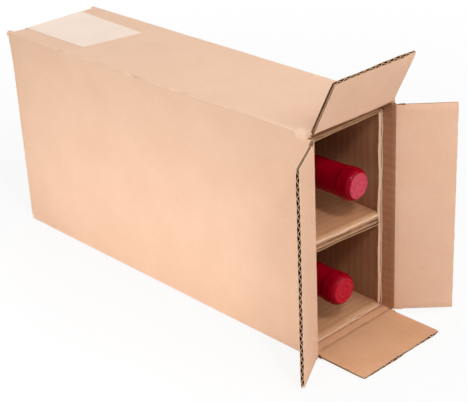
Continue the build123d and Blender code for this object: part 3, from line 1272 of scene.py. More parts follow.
@dataclass
class Tape:
    """The strip of tape over the closed end's seam.

    Fields:
        sizes, finishes: the board's sizes and the materials.
        carton: the carton that it lies on.
        thickness, width: its own, in mm.
        corner: radius where it turns round the closed end's edges.
        tail_near, tail_far: its reach on the top, at its near and far edges.
        drift: how far its tail on the top wanders to the near side.
        offset: from the carton's middle to the tape's, along Y.
        tail_below: its reach under the carton.
        extra: more samples in some steps of its line, by the step's number.
    """

    sizes: BoardSizes
    carton: Carton
    finishes: Finishes
    thickness: float = 0.25
    width: float = 68.0
    corner: float = 6.0
    tail_near: float = 95.0
    tail_far: float = 108.0
    drift: float = 4.5
    offset: float = -1.1
    tail_below: float = 60.0
    extra: dict[int, int] = field(default_factory=lambda: {0: 10, 7: 26, 14: 30})

    def build(self) -> bpy.types.Object:
        """Make the strip and dress it.

        Returns:
            The strip.
        """
        sizes = self.sizes
        end = -sizes.length / 2
        rows = np.linspace(-self.width / 2, self.width / 2, 34)
        uppers, lowers, wears, acrosses = [], [], [], []
        ragged = Ripple(5.0, 21)
        for row in rows:
            share = (row + self.width / 2) / self.width
            reach = self.tail_near + (self.tail_far - self.tail_near) * share
            reach += 0.25 * float(ragged.at(row))
            trail = rounded_trail([(end + self.tail_below, 0.0), (end, 0.0),
                                   (end, sizes.height), (end + reach, sizes.height)],
                                  [self.corner] * 2, 200.0, 7)
            spots, normals, folding = trail.spots, trail.normals, trail.folding
            picks = [(index, part) for index in range(len(spots) - 1)
                     for part in np.linspace(0, 1, self.extra.get(index, 1) + 1)[:-1]]
            picks.append((len(spots) - 2, 1.0))
            base = np.array([spots[i] * (1 - p) + spots[i + 1] * p for i, p in picks])
            away = np.array([normals[i] * (1 - p) + normals[i + 1] * p for i, p in picks])
            bend = np.array([folding[i] * (1 - p) + folding[i + 1] * p for i, p in picks])
            away = -away / np.linalg.norm(away, axis=1)[:, None]
            x, z = base[:, 0], base[:, 1]
            y = np.full(len(x), self.offset + row)
            on_top = np.clip((x - end - self.corner) / (reach - self.corner), 0, 1) * (z > 100)
            y = y - self.drift * on_top * share
            on_roof = (away[:, 1] > SQUARE_ON)
            drop = self.carton.sink(x, y, z, 0 * x, np.where(on_roof, 1.0, 0.0)) * on_roof
            below = away[:, 1] < -SQUARE_ON
            low = np.where(below, -self.thickness, 0.0) - drop
            high = low + self.thickness
            uppers.append(np.stack([x + away[:, 0] * high, y, z + away[:, 1] * high], -1))
            lowers.append(np.stack([x + away[:, 0] * low, y, z + away[:, 1] * low], -1))
            rim = np.clip(1.5 - (self.width / 2 - abs(row)) / 1.5, 0, 1)
            wears.append(np.maximum(rim * np.ones(len(x)), 0.4 * bend))
            acrosses.append(np.full(len(x), row))
        sheet = Sheet(np.array(uppers), np.array(lowers), np.array(acrosses), np.array(wears),
                      None, (0, 0, 0))
        strip = sheets_object("tape_strip", [sheet], [self.finishes.tape])
        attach(strip, "carton")
        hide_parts("closing_tape")
        return strip


# The mouth's flaps

FLUTE_POINTS = 15  # points across one flute
CREST = -0.08  # share of the third wave that makes a flute's crests sharper
WELD_REACH = 0.00001  # points nearer than this become one, in metres


def flute_tree() -> bpy.types.GeometryNodeTree:
    """Geometry Nodes that lay one flute many times side by side.

    Returns:
        A tree with the inputs Reach, Pitch, Rise, Flutes, Steps and Paper.
    """
    tree = bpy.data.node_groups.new("flute_run", "GeometryNodeTree")
    face = tree.interface
    face.new_socket("Geometry", in_out="OUTPUT", socket_type="NodeSocketGeometry")
    for name, kind in (("Reach", "Float"), ("Pitch", "Float"), ("Rise", "Float"),
                       ("Flutes", "Int"), ("Steps", "Int"), ("Paper", "Material")):
        face.new_socket(name, in_out="INPUT", socket_type=f"NodeSocket{kind}")
    desk = NodeDesk(tree)
    sizes = desk.add("NodeGroupInput").outputs
    grid = desk.add("GeometryNodeMeshGrid", {"Size X": sizes["Reach"], "Size Y": sizes["Pitch"],
                                             "Vertices X": sizes["Steps"], "Vertices Y": FLUTE_POINTS})
    spot = desk.add("GeometryNodeInputPosition").outputs[0]
    across = desk.add("ShaderNodeSeparateXYZ", {0: spot}).outputs["Y"]
    turn = desk.times(desk.maths("DIVIDE", across, sizes["Pitch"]), ROUND)
    sharper = desk.times(desk.maths("SINE", desk.times(turn, 3.0)), CREST)
    height = desk.times(desk.plus(desk.maths("SINE", turn), sharper), sizes["Rise"])
    lift = desk.add("ShaderNodeCombineXYZ", {"Z": height}).outputs[0]
    flute = desk.add("GeometryNodeSetPosition", {"Geometry": grid.outputs["Mesh"], "Offset": lift})
    step = desk.add("ShaderNodeCombineXYZ", {"Y": sizes["Pitch"]}).outputs[0]
    row = desk.add("GeometryNodeMeshLine", {"Count": sizes["Flutes"], "Offset": step})
    laid = desk.add("GeometryNodeInstanceOnPoints", {"Points": row.outputs[0],
                                                     "Instance": flute.outputs[0]})
    real = desk.add("GeometryNodeRealizeInstances", {0: laid.outputs[0]})
    weld = desk.add("GeometryNodeMergeByDistance", {"Geometry": real.outputs[0],
                                                    "Distance": WELD_REACH})
    dress = desk.add("GeometryNodeSetMaterial", {"Geometry": weld.outputs[0],
                                                 "Material": sizes["Paper"]})
    desk.add("NodeGroupOutput", {0: dress.outputs[0]})
    return tree


def set_tree_input(modifier: bpy.types.NodesModifier, name: str, value: object) -> None:
    """Set a tree's named input on a modifier, by the socket's identifier.

    Args:
        modifier: the modifier that runs the tree.
        name: the input's name.
        value: what it is set to.
    """
    for item in modifier.node_group.interface.items_tree:
        if item.item_type == "SOCKET" and item.in_out == "INPUT" and item.name == name:
            modifier[item.identifier] = value
            return
    raise KeyError(name)


class Side(Enum):
    """The four sides of the mouth, each with the way that it faces."""

    NEAR = (0.0, -1.0, 0.0)
    FAR = (0.0, 1.0, 0.0)
    TOP = (0.0, 0.0, 1.0)
    BOTTOM = (0.0, 0.0, -1.0)

    @property
    def is_long(self) -> bool:
        """Whether the flap runs along the carton's height."""
        return self in (Side.NEAR, Side.FAR)


@dataclass
class MouthFlap:
    """One open flap: its crease, two facings and the fluted paper between them.

    Fields:
        side: which side of the mouth it is on.
        opening: degrees past straight, as it stands.
        body: the CAD body that it moves with, and its node.
        sizes, finishes: the board's sizes and the materials.
        tree: Geometry Nodes that lay its flutes.
        inner: paper on the side that faces in when it is shut.
        seed: picks its unevenness.
        bow: how far it is warped, in mm.
        raggedness: how uneven its free edge is, in mm.
        crush: how far flutes are pressed flat at the free edge, 0 to 1.
        side_crush: how far the board is pressed flat along its side edges, 0 to 1.
        pinch_outside, pinch_inside: how deep its crease is pressed from each side, in mm.
        wall_inner: paper inside the crease on the wall's side, where it isn't the inside's darker
            paper, which is painted shade.
        edge: paper of the facings' cut edges, where it isn't the usual one.
        band: how far from its crease its crushed band reaches, in mm.
        blend_reach: how far from its crease the bending reaches, in mm; not used.
        edge_reach: how far from the free edge it is crushed and uneven, in mm.
        rub_reach: how far from the free edge its paper is rubbed, in mm.
        flute_steps: points along each flute.
        swell: how the wall that it hangs on stands up.
    """

    side: Side
    opening: float
    body: str
    sizes: BoardSizes
    finishes: Finishes
    tree: bpy.types.GeometryNodeTree
    inner: bpy.types.Material
    seed: int = 1
    bow: float = 0.25
    raggedness: float = 0.18
    crush: float = 0.1
    side_crush: float = 0.2
    pinch_outside: float = 1.4
    pinch_inside: float = 1.4
    wall_inner: bpy.types.Material | None = None
    edge: bpy.types.Material | None = None
    band: float = 7.0
    blend_reach: float = 3.2
    edge_reach: float = 9.0
    rub_reach: float = 0.7
    flute_steps: int = 12
    swell: Swell = field(default_factory=Swell)

    def __post_init__(self) -> None:
        """Work out where the flap turns and how large it is."""
        sizes = self.sizes
        self.outward = np.array(self.side.value)
        if self.side.is_long:
            self.hinge = np.array([sizes.long_crease, self.outward[1] * sizes.wall,
                                   sizes.height / 2])
            self.width_way = np.array([0.0, 0.0, 1.0])
            self.width = sizes.height - 2 * sizes.slot
            self.reach = sizes.width / 2 - sizes.half - sizes.layer_gap
            self.back = sizes.band_long
        else:
            level = sizes.ceiling if self.side is Side.TOP else sizes.half
            self.hinge = np.array([sizes.short_crease, 0.0, level])
            self.width_way = np.array([0.0, 1.0, 0.0])
            self.width = sizes.width - 2 * sizes.slot
            self.reach = sizes.width / 2 - sizes.half + sizes.board
            self.back = sizes.band_short
        angle = math.radians(self.opening)
        self.along = math.cos(angle) * np.array([1.0, 0, 0]) + math.sin(angle) * self.outward
        self.normal = -math.sin(angle) * np.array([1.0, 0, 0]) + math.cos(angle) * self.outward

    def in_place(self, run: np.ndarray, height: np.ndarray, spread: np.ndarray) -> np.ndarray:
        """Points of the flap in the shared frame.

        Args:
            run: distance from the crease, in mm.
            height: distance from the middle of the board, outward.
            spread: distance from the middle of the flap's width.

        Returns:
            The points, in mm.
        """
        loose = np.clip((run - self.band) / (self.reach - self.band), 0, 1)
        edge = np.clip((run - self.reach + self.edge_reach) / self.edge_reach, 0, 1)
        clear = 1.0 if self.side.is_long else -1.0
        warp = self.bow * loose ** 2 * (clear + Ripple(120.0, self.seed).at(spread)) / 1.5
        warp = warp + 0.12 * edge ** 2 * (clear + Ripple(20.0, self.seed + 5).at(spread)) / 1.5
        pressed = 0.55 + 0.45 * Ripple(26.0, self.seed + 9).at(spread)
        flat = 1 - self.crush * edge * np.clip(pressed, 0, 1)
        rim = np.exp(-((self.width / 2 - np.abs(spread)) / 2.5) ** 2)
        flat = flat * (1 - self.side_crush * rim)
        push = self.raggedness * edge ** 3 * Ripple(11.0, self.seed + 3).at(spread, 3 * height)
        grid = (run + push)[..., None] * self.along
        grid = grid + (height * flat + warp)[..., None] * self.normal
        points = self.hinge + grid + spread[..., None] * self.width_way
        return points + self.lift(run, spread)

    def lift(self, run: np.ndarray, spread: np.ndarray) -> np.ndarray:
        """How the top flap follows the wall's swell, without standing out once it is shut.

        Args:
            run: distance from the crease, in mm.
            spread: distance from the middle of the flap's width.

        Returns:
            The shift of each point, in mm, which is nothing on the other flaps.
        """
        if self.side is not Side.TOP:
            return np.zeros(run.shape + (3,))
        rise = self.swell.at(self.hinge[0], spread, self.hinge[2]) * (1 - 0.25 * run / self.reach)
        out = rise * eased(1 - run / 2.5) * self.normal[2]
        return (rise * self.along[2])[..., None] * self.along + out[..., None] * self.normal

    def facing(self, high: float, low: float, outer: bool) -> Sheet:
        """One of the two facing papers.

        Args:
            high, low: distances of its faces from the board's middle, in mm.
            outer: whether it is on the outside of the carton.

        Returns:
            The paper, as one sheet.
        """
        runs = np.concatenate([np.linspace(self.band, self.reach - 8, 10),
                               self.reach - np.array([7.0, 6.0, 5.0, 4.0, 3.0, 2.0, 1.2, 0.6, 0.0])])
        spreads = np.linspace(-self.width / 2, self.width / 2, int(self.width / 1.9) + 1)
        run, spread = np.meshgrid(runs, spreads, indexing="ij")
        wear_and_shading = 0.4 * np.clip((run - self.reach + self.rub_reach) / self.rub_reach, 0, 1)
        grids = [self.in_place(run, np.full(run.shape, level), spread) for level in (high, low)]
        # The facings' inside faces take the fluted paper, which is painted shade away from the free
        # edge.
        plies = (0, 3, 2) if outer else (3, 1, 2)
        return Sheet(grids[0], grids[1], spread.copy(), wear_and_shading, None, plies)

    def flutes(self) -> bpy.types.Object:
        """The fluted paper, laid out flat by Geometry Nodes and then bent into place.

        Returns:
            The paper.
        """
        sizes = self.sizes
        count = math.ceil(self.width / sizes.flute_pitch)
        pitch = self.width / count
        reach = self.reach - self.band
        rise = sizes.half - sizes.liner - sizes.medium / 2
        base = put_in_scene("flutes", bpy.data.meshes.new("flutes"))
        lay = base.modifiers.new("lay", "NODES")
        lay.node_group = self.tree
        for name, value in (("Reach", reach * MM), ("Pitch", pitch * MM), ("Rise", rise * MM),
                            ("Flutes", count), ("Steps", self.flute_steps),
                            ("Paper", self.finishes.medium)):
            set_tree_input(lay, name, value)
        thick = base.modifiers.new("thick", "SOLIDIFY")
        thick.thickness = sizes.medium * MM
        thick.offset = 0.0
        evaluated = base.evaluated_get(bpy.context.evaluated_depsgraph_get())
        mesh = bpy.data.meshes.new_from_object(evaluated)
        bpy.data.objects.remove(base)
        points = np.empty(len(mesh.vertices) * 3, np.float32)
        mesh.vertices.foreach_get("co", points)
        points = points.reshape(-1, 3).astype(float) / MM
        spread = points[:, 1] - (self.width - pitch) / 2
        run = self.band + reach * (1 - (0.5 - points[:, 0] / reach) ** 2)
        placed = self.in_place(run - 0.15, points[:, 2], spread) * MM
        mesh.vertices.foreach_set("co", placed.astype(np.float32).reshape(-1))
        # Painted shade: the fluted paper is pale at the free and side edges and dark further in.
        rub = np.clip((run - self.reach + self.rub_reach) / self.rub_reach, 0, 1)
        side = np.clip((np.abs(spread) - self.width / 2 + 2.4) / 1.4, 0, 1)
        rub = np.maximum(rub, 0.75 * side)
        add_layer(mesh, "wear_and_shading", rub)
        if np.linalg.det(np.array([self.along, self.width_way, self.normal])) < 0:
            mesh.flip_normals()
        return shaded_object(f"{self.body}_flutes", mesh, 50.0)

    def crease(self) -> bpy.types.Object:
        """The crushed band that joins the flap to its wall, bent to the flap's opening as it stands.

        Returns:
            The band.
        """
        sizes = self.sizes
        angle = math.radians(self.opening)
        stop = (self.band * math.cos(angle), self.band * math.sin(angle))
        marks = [0.7 * n for n in range(1, int((self.back - 2.0) / 0.7))]
        onward = [2.0 + 0.7 * n for n in range(int((self.band - 2.2) / 0.7))]
        if angle:
            corners = [(-self.back, 0.0), (0.0, 0.0), stop]
            columns = [marks, onward]
        else:
            corners = [(-self.back, 0.0), stop]
            columns = [list(np.linspace(0.7, self.back + self.band - 0.7, 24))]
        faces, along = [], np.zeros(0)
        spreads = np.linspace(-self.width / 2, self.width / 2, int(self.width / 2.6) + 1)
        for sign, press in ((1.0, self.pinch_outside), (-1.0, self.pinch_inside)):
            face = folded_side(corners, -sign * sizes.half, columns, 0.7, 0.5, 8)
            run = face.run - self.back
            spread = spreads[None, :] + 0 * run[:, None]
            along = run[:, None] + 0 * spread
            uneven = 1 + 0.15 * Ripple(15.0, self.seed + 6).at(spread)
            pinch = press * np.exp(-(along / 1.9) ** 2) * uneven
            a = face.spots[:, 0][:, None] + sign * face.normals[:, 0][:, None] * pinch
            b = face.spots[:, 1][:, None] + sign * face.normals[:, 1][:, None] * pinch
            grid = a[..., None] * np.array([1.0, 0, 0]) + b[..., None] * self.outward
            points = self.hinge + grid + spread[..., None] * self.width_way
            rise = self.swell.at(points[..., 0], points[..., 1], np.minimum(points[..., 2],
                                                                            sizes.ceiling))
            if self.side is Side.TOP:
                rise = np.where(along < 0, rise, 0.0)
                points = points + np.where(along < 0, 0.0, 1.0)[..., None] * self.lift(along, spread)
            else:
                rise = rise * eased(1 - along / self.band)
            points[..., 2] += rise
            faces.append(points)
        rub = np.exp(-(along / 2.2) ** 2) * (0.45 + 0.3 * Ripple(9.0, self.seed + 2).at(spread))
        # Painted shade: cells on the wall's side of the crease take the darker paper of the wall's
        # inside.
        painted_shade_cells = (along[:-1, :-1] + along[1:, :-1]) / 2 < 0.1
        sheet = Sheet(faces[0], faces[1], spread.copy(), np.clip(rub, 0, 1),
                      under=np.where(painted_shade_cells, 3, 1))
        look = self.finishes
        band = sheets_object(f"{self.body}_crease", [sheet],
                             [look.outer, self.inner, look.groove,
                              self.wall_inner or look.inside], 60.0)
        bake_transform(band)
        return band

    def build(self) -> list[bpy.types.Object]:
        """Make the flap's pieces and dress them.

        Returns:
            Its facings, its fluted paper and its crease.
        """
        sizes = self.sizes
        look = self.finishes
        outer = self.facing(sizes.half, sizes.half - sizes.liner, True)
        inner = self.facing(-sizes.half + sizes.liner, -sizes.half, False)
        panel = sheets_object(f"{self.body}_facings", [outer, inner],
                              [look.outer, self.inner, self.edge or look.edge, look.medium])
        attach(panel, self.body)
        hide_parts(self.body)
        medium = self.flutes()
        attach(medium, self.body)
        return [panel, medium, self.crease()]


# The insert

@dataclass
class Insert:
    """The rolled strip of board with its two cells and the shelf of three plies.

    Fields:
        sizes, finishes: the board's sizes and the materials.
        board, liner: thickness of its board and of a facing, in mm.
        ply_gap: between the shelf's plies.
        shelf_height, floor_top: levels that the bottles lie on.
        cell_far, cell_width: the far wall's inner face, and the room inside.
        back, front: its ends along X.
        recess: from its front edge back to the fluted paper's.
        shelf_rise, shelf_tilt: how the shelf's front has moved up, and tips to the near side.
        roof_sag: how far the roof's front hangs.
        loose_from: where along X its loose front starts.
        shelf_middle: from the shelf's top down to its middle.
        roof_level: height above which the level part of the strip is the roof.
        lower_plies: distance along the strip from which the shelf's plies are its lower ones.
    """

    sizes: BoardSizes
    finishes: Finishes
    board: float = 3.8
    liner: float = 0.55
    ply_gap: float = 0.2
    shelf_height: float = 101.3
    floor_top: float = 7.9
    cell_far: float = 45.4
    cell_width: float = 88.9
    back: float = -195.9
    front: float = 189.7
    recess: float = 2.2
    shelf_rise: float = 0.3
    shelf_tilt: float = 2.8
    roof_sag: float = 5.2
    loose_from: float = 100.0
    shelf_middle: float = 6.0
    roof_level: float = 190.0
    lower_plies: float = 250.0

    def trail(self) -> Trail:
        """The middle of the strip, from the shelf's upper ply round to its middle one.

        Returns:
            The line, sampled.
        """
        half = self.board / 2
        near = self.cell_far - self.cell_width - half
        far = self.cell_far + half
        shelf_end = self.cell_far - self.sizes.layer_gap
        floor = self.floor_top - half
        roof = self.sizes.height - self.sizes.board - self.sizes.layer_gap - half
        step = self.board + self.ply_gap
        upper = self.shelf_height - half
        bend = half + self.sizes.fold_inside
        hairpin = step / 2 - self.ply_gap / 4
        return rounded_trail(
            [(shelf_end, upper), (near, upper), (near, roof), (far, roof), (far, floor),
             (near, floor), (near, upper - 2 * step), (shelf_end - half, upper - 2 * step),
             (shelf_end - half, upper - step), (near - half, upper - step)],
            [bend] * 6 + [hairpin] * 2, 2.0, 6)

    def settled(self, x: np.ndarray, y: np.ndarray, z: np.ndarray) -> np.ndarray:
        """How far the loose front of the insert has moved up or down.

        Args:
            x, y, z: places on the insert, in mm.

        Returns:
            The rise at each place, in mm.
        """
        loose = eased((x - self.loose_from) / (self.front - self.loose_from))
        shelf = np.exp(-((z - self.shelf_height + self.shelf_middle) / 13) ** 2)
        tilt = self.shelf_rise - self.shelf_tilt * y / self.cell_far
        return loose * (shelf * tilt - self.roof_sag * eased((z - 176) / 20))

    def ribbon(self, trail: Trail, rows: np.ndarray, high: np.ndarray, low: np.ndarray,
               wear_and_shading: np.ndarray, plies: tuple[int, int, int],
               rim: np.ndarray | None = None, over: np.ndarray | None = None) -> Sheet:
        """A paper along the strip, between two distances from its middle.

        Args:
            trail: the middle of the strip.
            rows: X of each point, rows by samples.
            high, low: the two distances at each point.
            wear_and_shading: how rubbed it is at each point.
            plies: its material indices.
            rim: material index of the cut edges of each cell, where they differ.
            over: material index of each cell of the upper face, where they differ.

        Returns:
            The paper, as one sheet.
        """
        grids = []
        for level in (high, low):
            y = trail.spots[None, :, 0] + trail.normals[None, :, 0] * level
            z = trail.spots[None, :, 1] + trail.normals[None, :, 1] * level
            grids.append(np.stack([rows, y, z + self.settled(rows, y, z)], -1))
        return Sheet(grids[0], grids[1], rows.copy(), wear_and_shading, plies=plies, rim=rim, over=over)

    def build(self) -> bpy.types.Object:
        """Make the insert and dress it.

        Returns:
            The insert.
        """
        trail = self.trail()
        sheets = [*self.facings(trail), self.fluting(trail)]
        look = self.finishes
        insert = sheets_object("insert_board_roll", sheets,
                               [look.insert, look.edge, look.medium, look.painted_shade_edge,
                                look.insert_wall_painted_shade])
        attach(insert, "carton")
        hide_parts("bottle_insert")
        return insert

    def facings(self, trail: Trail) -> list[Sheet]:
        """The two facing papers, which come together along the front edge.

        Args:
            trail: the middle of the strip.

        Returns:
            The paper to the right of the line and the one to its left.
        """
        half = self.board / 2
        run = trail.run[None, :]
        z = trail.spots[:, 1]
        far_wall = (trail.normals[:, 0] < -SQUARE_ON)[None, :]
        floor = ((z < self.floor_top) & (trail.normals[:, 1] > SQUARE_ON))[None, :]
        roof = ((z > self.roof_level) & (trail.normals[:, 1] < -SQUARE_ON))[None, :]
        at_shelf = np.abs(z - self.shelf_height + self.shelf_middle) < 9
        shelf = (at_shelf & (np.abs(trail.normals[:, 0]) < SQUARE_ON))[None, :]
        shelf_top = shelf & (z > self.shelf_height - self.board)[None, :]
        marks = np.concatenate([np.linspace(self.back, self.front - 14, 28),
                                self.front - np.array([10, 7, 5, 4, 3, 2.2, 1.5, 0.9, 0.4, 0])])
        rows = marks[:, None] + 0 * run
        # Painted shade: the roof's edge and the shelf's lower plies take the darker edge paper.
        dull = (roof | (shelf & ~shelf_top) | (shelf & (trail.run > self.lower_plies)[None, :]))[:, :-1]
        rim = np.where(dull, 3, 1) + np.zeros((len(marks) - 1, 1), int)
        # Painted shade: the upright walls take the darker copy of the insert's paper.
        walls = np.where(np.abs(trail.normals[None, :-1, 0]) > SQUARE_ON, 4, 0)
        walls = walls + np.zeros((len(marks) - 1, 1), int)
        closed = np.where(far_wall | shelf_top | floor | roof, 1.0, 0.4)
        sheets = []
        for index, sign in enumerate((1.0, -1.0)):
            uneven = Ripple(30.0, 40 + index).at(run)
            fine = Ripple(13.0, 50 + index).at(run)
            near_front = np.clip((rows - self.front + 5) / 5, 0, 1)
            pinch = near_front ** 1.5 * (0.5 + 0.3 * uneven + 0.1 * fine)
            pinch = np.where(far_wall, near_front ** 1.5 * (-1.8 if sign > 0 else 0.2)
                             * (1 + 0.2 * uneven), pinch)
            pinch = np.where(shelf_top & (sign > 0), near_front ** 2 * (1.1 + 0.3 * uneven),
                             pinch)
            pinch = np.where(floor, near_front * (0.8 if sign > 0 else 0.0), pinch)
            pinch = np.where(roof, 0.2 * near_front * (1 + uneven), pinch)
            x = rows - near_front * (0.3 + 0.3 * uneven + 0.15 * fine)
            face = half - pinch
            gap = np.where(floor | shelf_top, 0.03, 0.14 + 0.1 * (1 + fine))
            shut = closed * near_front ** 1.5
            high = sign * face
            low = sign * ((face - self.liner) * (1 - shut) + gap * shut)
            # On the facings' inside faces this rubbing also sets painted shade, dark away from the
            # front edge.
            rub = near_front ** np.where(floor, 0.6, 1.0) * (0.7 + 0.3 * fine)
            wear_and_shading = np.clip(rub, 0, 1)
            sheets.append(self.ribbon(trail, x, high, low, wear_and_shading, (0, 2, 1), rim, walls))
        return sheets

    def fluting(self, trail: Trail) -> Sheet:
        """The fluted paper, as far back as it can be seen between the facings.

        Args:
            trail: the middle of the strip.

        Returns:
            The paper, as one sheet.
        """
        last = self.front - self.recess
        run = trail.run[None, :]
        marks = np.arange(last - 24, last + 0.01, 0.75)
        rows = marks[:, None] + 0.4 * Ripple(16.0, 61).at(run)
        rise = self.board / 2 - self.liner - 0.3
        squeeze = 1 - 0.9 * np.clip((marks[:, None] - last + 5) / 5, 0, 1)
        wave = np.sin(ROUND * (marks[:, None] - last + 1.2) / 7.6
                      + 0.5 * Ripple(60.0, 62).at(run)) * rise * squeeze
        # Painted shade: the fluted paper darkens away from the front edge.
        rub = np.clip((marks[:, None] - last + 2) / 2, 0, 1) + 0 * wave
        return self.ribbon(trail, rows, wave + 0.18, wave - 0.18, rub, (2, 2, 2))


# The bottles

@dataclass
class Bottle:
    """A sealed bottle on its side, with its capsule.

    Fields:
        name: upper or lower.
        tip: the middle of the capsule's end, in mm.
        yaw: degrees that the bottle is turned about Z.
        foil, glass: the capsule's material and the bottle's.
        length, radius: the bottle's own, in mm.
        body, shoulder: lengths of its straight part and of its shoulder.
        neck: radius of the neck.
        skirt: length of the capsule.
        rings: the capsule's outside, as distance from its end and radius.
    """

    name: str
    tip: tuple[float, float, float]
    yaw: float
    foil: bpy.types.Material
    glass: bpy.types.Material
    length: float = 325.0
    radius: float = 36.5
    body: float = 188.0
    shoulder: float = 46.0
    neck: float = 13.45
    skirt: float = 68.0
    rings: tuple[tuple[float, float], ...] = (
        (60.0, 13.9), (45.0, 13.9), (30.0, 13.9), (19.0, 13.9), (17.2, 13.86), (16.4, 13.7),
        (15.8, 13.8), (15.2, 14.25), (14.6, 14.6), (13.8, 14.72), (10.2, 14.75), (9.7, 14.62),
        (9.3, 14.35), (8.9, 14.33), (8.5, 14.6), (8.1, 14.75), (6.2, 14.72), (4.9, 14.5),
        (3.7, 14.05), (2.6, 13.4), (1.6, 12.6), (0.9, 11.8), (0.4, 11.1), (0.1, 10.5), (0.0, 10.1),
        (0.05, 9.8), (0.32, 9.5), (0.36, 9.1), (0.33, 6.6), (0.17, 6.3), (0.33, 6.0), (0.32, 3.0),
        (0.3, 0.0))

    def place(self) -> Matrix:
        """Where the bottle lies, from its base along +X."""
        turn = Matrix.Rotation(math.radians(self.yaw), 4, "Z")
        return Matrix.Translation(self.tip) @ turn @ Matrix.Translation((-self.length, 0, 0))

    def glass_profile(self) -> list[tuple[float, float]]:
        """The glass, from the hollow base to the top under the capsule.

        Returns:
            Its outline, as distance from the base and radius.
        """
        line = [(3.4, 0.0), (3.2, 10.0), (2.4, 18.0), (0.8, 24.0), (0.1, 28.0), (0.0, 31.0),
                (0.5, 33.6), (1.8, 35.4), (4.0, 36.3), (7.0, self.radius)]
        line += [(x, self.radius) for x in (60.0, 120.0, self.body - 6)]
        for share in np.linspace(0, 1, 22):
            ease = (1 - math.cos(math.pi * share)) / 2
            fall = ease + 0.06 * math.sin(ROUND * share)
            line.append((self.body + self.shoulder * share,
                         self.radius - (self.radius - self.neck) * min(max(fall, 0), 1)))
        line += [(x, self.neck) for x in (250.0, 290.0, 318.0)]
        line += [(321.5, self.neck - 1.2), (321.8, 6.0), (321.8, 0.0)]
        return line

    def foil_profile(self) -> list[tuple[float, float]]:
        """The capsule, from inside its skirt over the outside to the end disc.

        Returns:
            Its outline, as distance from the base and radius.
        """
        rim = self.length - self.skirt
        inner = [(self.length - 3.0, 0.0), (self.length - 3.0, 13.5), (rim, 13.5), (rim, 13.78),
                 (rim + 0.3, 13.9)]
        return inner + [(self.length - depth, radius) for depth, radius in self.rings]

    def build(self) -> list[bpy.types.Object]:
        """Make the bottle and its capsule and dress them.

        Returns:
            The bottle and the capsule.
        """
        place = self.place()
        bottle = lathe_object(f"{self.name}_bottle_glass", self.glass_profile(), place,
                              self.glass)
        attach(bottle, "carton")
        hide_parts(f"bottle_{self.name}")
        capsule = lathe_object(f"{self.name}_capsule_foil", self.foil_profile(), place, self.foil)
        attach(capsule, "carton")
        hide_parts(f"capsule_{self.name}")
        return [bottle, capsule]


# The studio

@dataclass
class Lamp:
    """A soft square lamp.

    Fields:
        name: the lamp's name.
        place: where it stands, in metres.
        size: its side, in metres.
        power: watts.
        colour: its tint.
    """

    name: str
    place: tuple[float, float, float]
    size: float
    power: float
    colour: tuple[float, float, float] = (1.0, 1.0, 1.0)


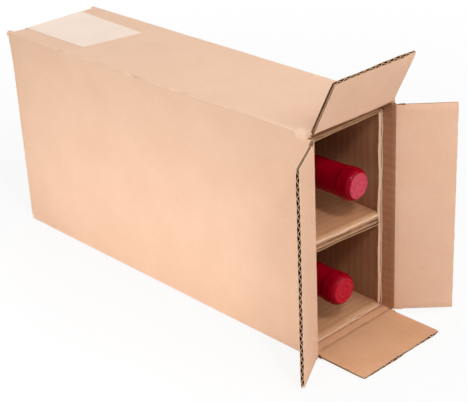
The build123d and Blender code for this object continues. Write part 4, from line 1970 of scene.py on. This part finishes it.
@dataclass
class Studio:
    """Floor, lamps, white surroundings and the camera.

    Fields:
        finishes: the materials.
        picture: width and height of the photograph, in pixels.
        focal_pixels: the camera's focal length, in the same pixels.
        sensor: width of its sensor, in mm.
        eye: where it stands, in metres.
        azimuth, elevation, roll: the way that it looks, in degrees.
        surround: how strongly the surroundings light the object.
        aim: the point that every lamp faces, in metres.
        lamps: the lamps.
    """

    finishes: Finishes
    picture: tuple[int, int] = (467, 402)
    focal_pixels: float = 1299.7
    sensor: float = 36.0
    eye: tuple[float, float, float] = (0.84354, -0.73247, 0.61307)
    azimuth: float = 47.211
    elevation: float = 26.197
    roll: float = -2.857
    surround: float = 0.0
    aim: tuple[float, float, float] = (0.02, 0.0, 0.1)
    lamps: tuple[Lamp, ...] = (
        Lamp("key_lamp", (0.25, -1.9, 1.35), 1.3, 15.6),
        Lamp("left_lamp", (-1.5, -1.3, 1.0), 1.2, 3.0),
        Lamp("back_lamp", (-1.7, 1.3, 0.55), 1.1, 22.0),
        Lamp("mouth_lamp", (1.75, -0.1, 1.2), 0.9, 7.6),
        Lamp("far_lamp", (1.5, 0.8, 1.3), 1.2, 12.0),
        Lamp("roof_lamp", (-0.1, 0.1, 2.1), 1.6, 12.2, (0.97, 1.0, 1.03)),
        Lamp("low_left_lamp", (-0.2, -0.26, 0.02), 0.1, 0.16),
        Lamp("low_middle_lamp", (-0.05, -0.26, 0.02), 0.1, 0.08),
        Lamp("low_right_lamp", (0.11, -0.26, 0.02), 0.1, 0.16),
        Lamp("neck_lamp", (1.12, -0.48, 1.3), 0.2, 7.4),
    )

    def camera(self) -> None:
        """Set up the camera as the photograph was taken."""
        data = bpy.data.cameras.new("camera")
        data.sensor_fit = "HORIZONTAL"
        data.sensor_width = self.sensor
        data.lens = self.focal_pixels * self.sensor / self.picture[0]
        camera = put_in_scene("camera", data)
        turn = Matrix.Rotation(math.radians(self.azimuth), 4, "Z")
        tilt = Matrix.Rotation(math.radians(90 - self.elevation), 4, "X")
        roll = Matrix.Rotation(math.radians(self.roll), 4, "Z")
        camera.matrix_world = Matrix.Translation(self.eye) @ turn @ tilt @ roll
        bpy.context.scene.camera = camera

    def floor(self) -> bpy.types.Object:
        """A large pale floor under the object.

        Returns:
            The floor.
        """
        mesh = bpy.data.meshes.new("floor")
        far, level = 12.0, -0.0004
        mesh.from_pydata([(-far, -far, level), (far, -far, level), (far, far, level),
                          (-far, far, level)], [], [(0, 1, 2, 3)])
        mesh.materials.append(self.finishes.floor)
        floor = put_in_scene("floor", mesh)
        return floor

    def surroundings(self) -> None:
        """A world that is white to the camera and lights the object as far as surround says."""
        world = bpy.data.worlds.new("surroundings")
        bpy.context.scene.world = world
        world.use_nodes = True
        desk = NodeDesk(world.node_tree)
        soft = desk.add("ShaderNodeBackground", {"Color": (1.0, 0.985, 0.97, 1.0),
                                                 "Strength": self.surround})
        white = desk.add("ShaderNodeBackground", {"Color": (1.0, 1.0, 1.0, 1.0), "Strength": 1.0})
        mixed = desk.add("ShaderNodeMixShader", {0: desk.seen(), 1: soft.outputs[0],
                                                 2: white.outputs[0]})
        desk.add("ShaderNodeOutputWorld", {"Surface": mixed.outputs[0]})

    def light(self) -> None:
        """Hang the soft lamps, each turned to the carton's middle."""
        middle = Vector(self.aim)
        for lamp in self.lamps:
            data = bpy.data.lights.new(lamp.name, "AREA")
            data.energy = lamp.power
            data.size = lamp.size
            data.color = lamp.colour
            hung = put_in_scene(lamp.name, data)
            hung.location = lamp.place
            hung.rotation_euler = (middle - Vector(lamp.place)).to_track_quat("-Z", "Y").to_euler()
            hung.visible_camera = False

    def build(self) -> None:
        """Set up the whole studio."""
        self.camera()
        self.floor()
        self.surroundings()
        self.light()
        bpy.context.scene.view_settings.view_transform = "Standard"


def corners(box: tuple) -> list[list[float]]:
    """A box's two corners as plain lists."""
    return [[float(value) for value in corner] for corner in box]


def main() -> None:
    """Build every piece."""
    logging.basicConfig(level=logging.INFO, format="%(message)s")
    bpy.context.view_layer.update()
    finishes = Finishes()
    sizes = BoardSizes()
    Studio(finishes).build()
    carton = Carton(sizes, finishes)
    made = [carton.build(), Tape(sizes, carton, finishes).build(),
            Insert(sizes, finishes).build()]
    tree = flute_tree()
    for side, opening, body, inner, seed, crush, rim, pinch in (
            (Side.NEAR, 60.0, "near_flap", finishes.inner, 1, 0.1, 0.35, 1.4),
            (Side.FAR, 45.0, "far_flap", finishes.inner, 12, 0.35, 0.5, 0.5),
            (Side.TOP, 64.0, "top_flap", finishes.inner, 23, 0.5, 0.1, 1.5),
            (Side.BOTTOM, 0.0, "bottom_flap", finishes.inner_deep, 34, 0.5, 0.5, 0.8)):
        # Painted shade: the near, far and top creases take the inside's darker paper on their wall
        # side.
        flap = MouthFlap(side, opening, body, sizes, finishes, tree, inner, seed, crush=crush,
                         side_crush=rim, pinch_inside=pinch,
                         wall_inner=inner if side is Side.BOTTOM else finishes.inside,
                         # Painted shade: the top flap's cut edges take the darker edge paper.
                         edge=finishes.painted_shade_edge if side is Side.TOP else None)
        made.extend(flap.build())
    made.extend(Bottle("upper", (195.385, 12.281, 138.0), 2.0, finishes.foil_upper,
                       finishes.glass).build())
    made.extend(Bottle("lower", (195.257, -7.176, 44.6), -2.5, finishes.foil_lower,
                       finishes.glass).build())
    for piece in made:
        LOG.info("%s: %d faces", piece.name, len(piece.data.polygons))


if __name__ == "__main__":
    main()
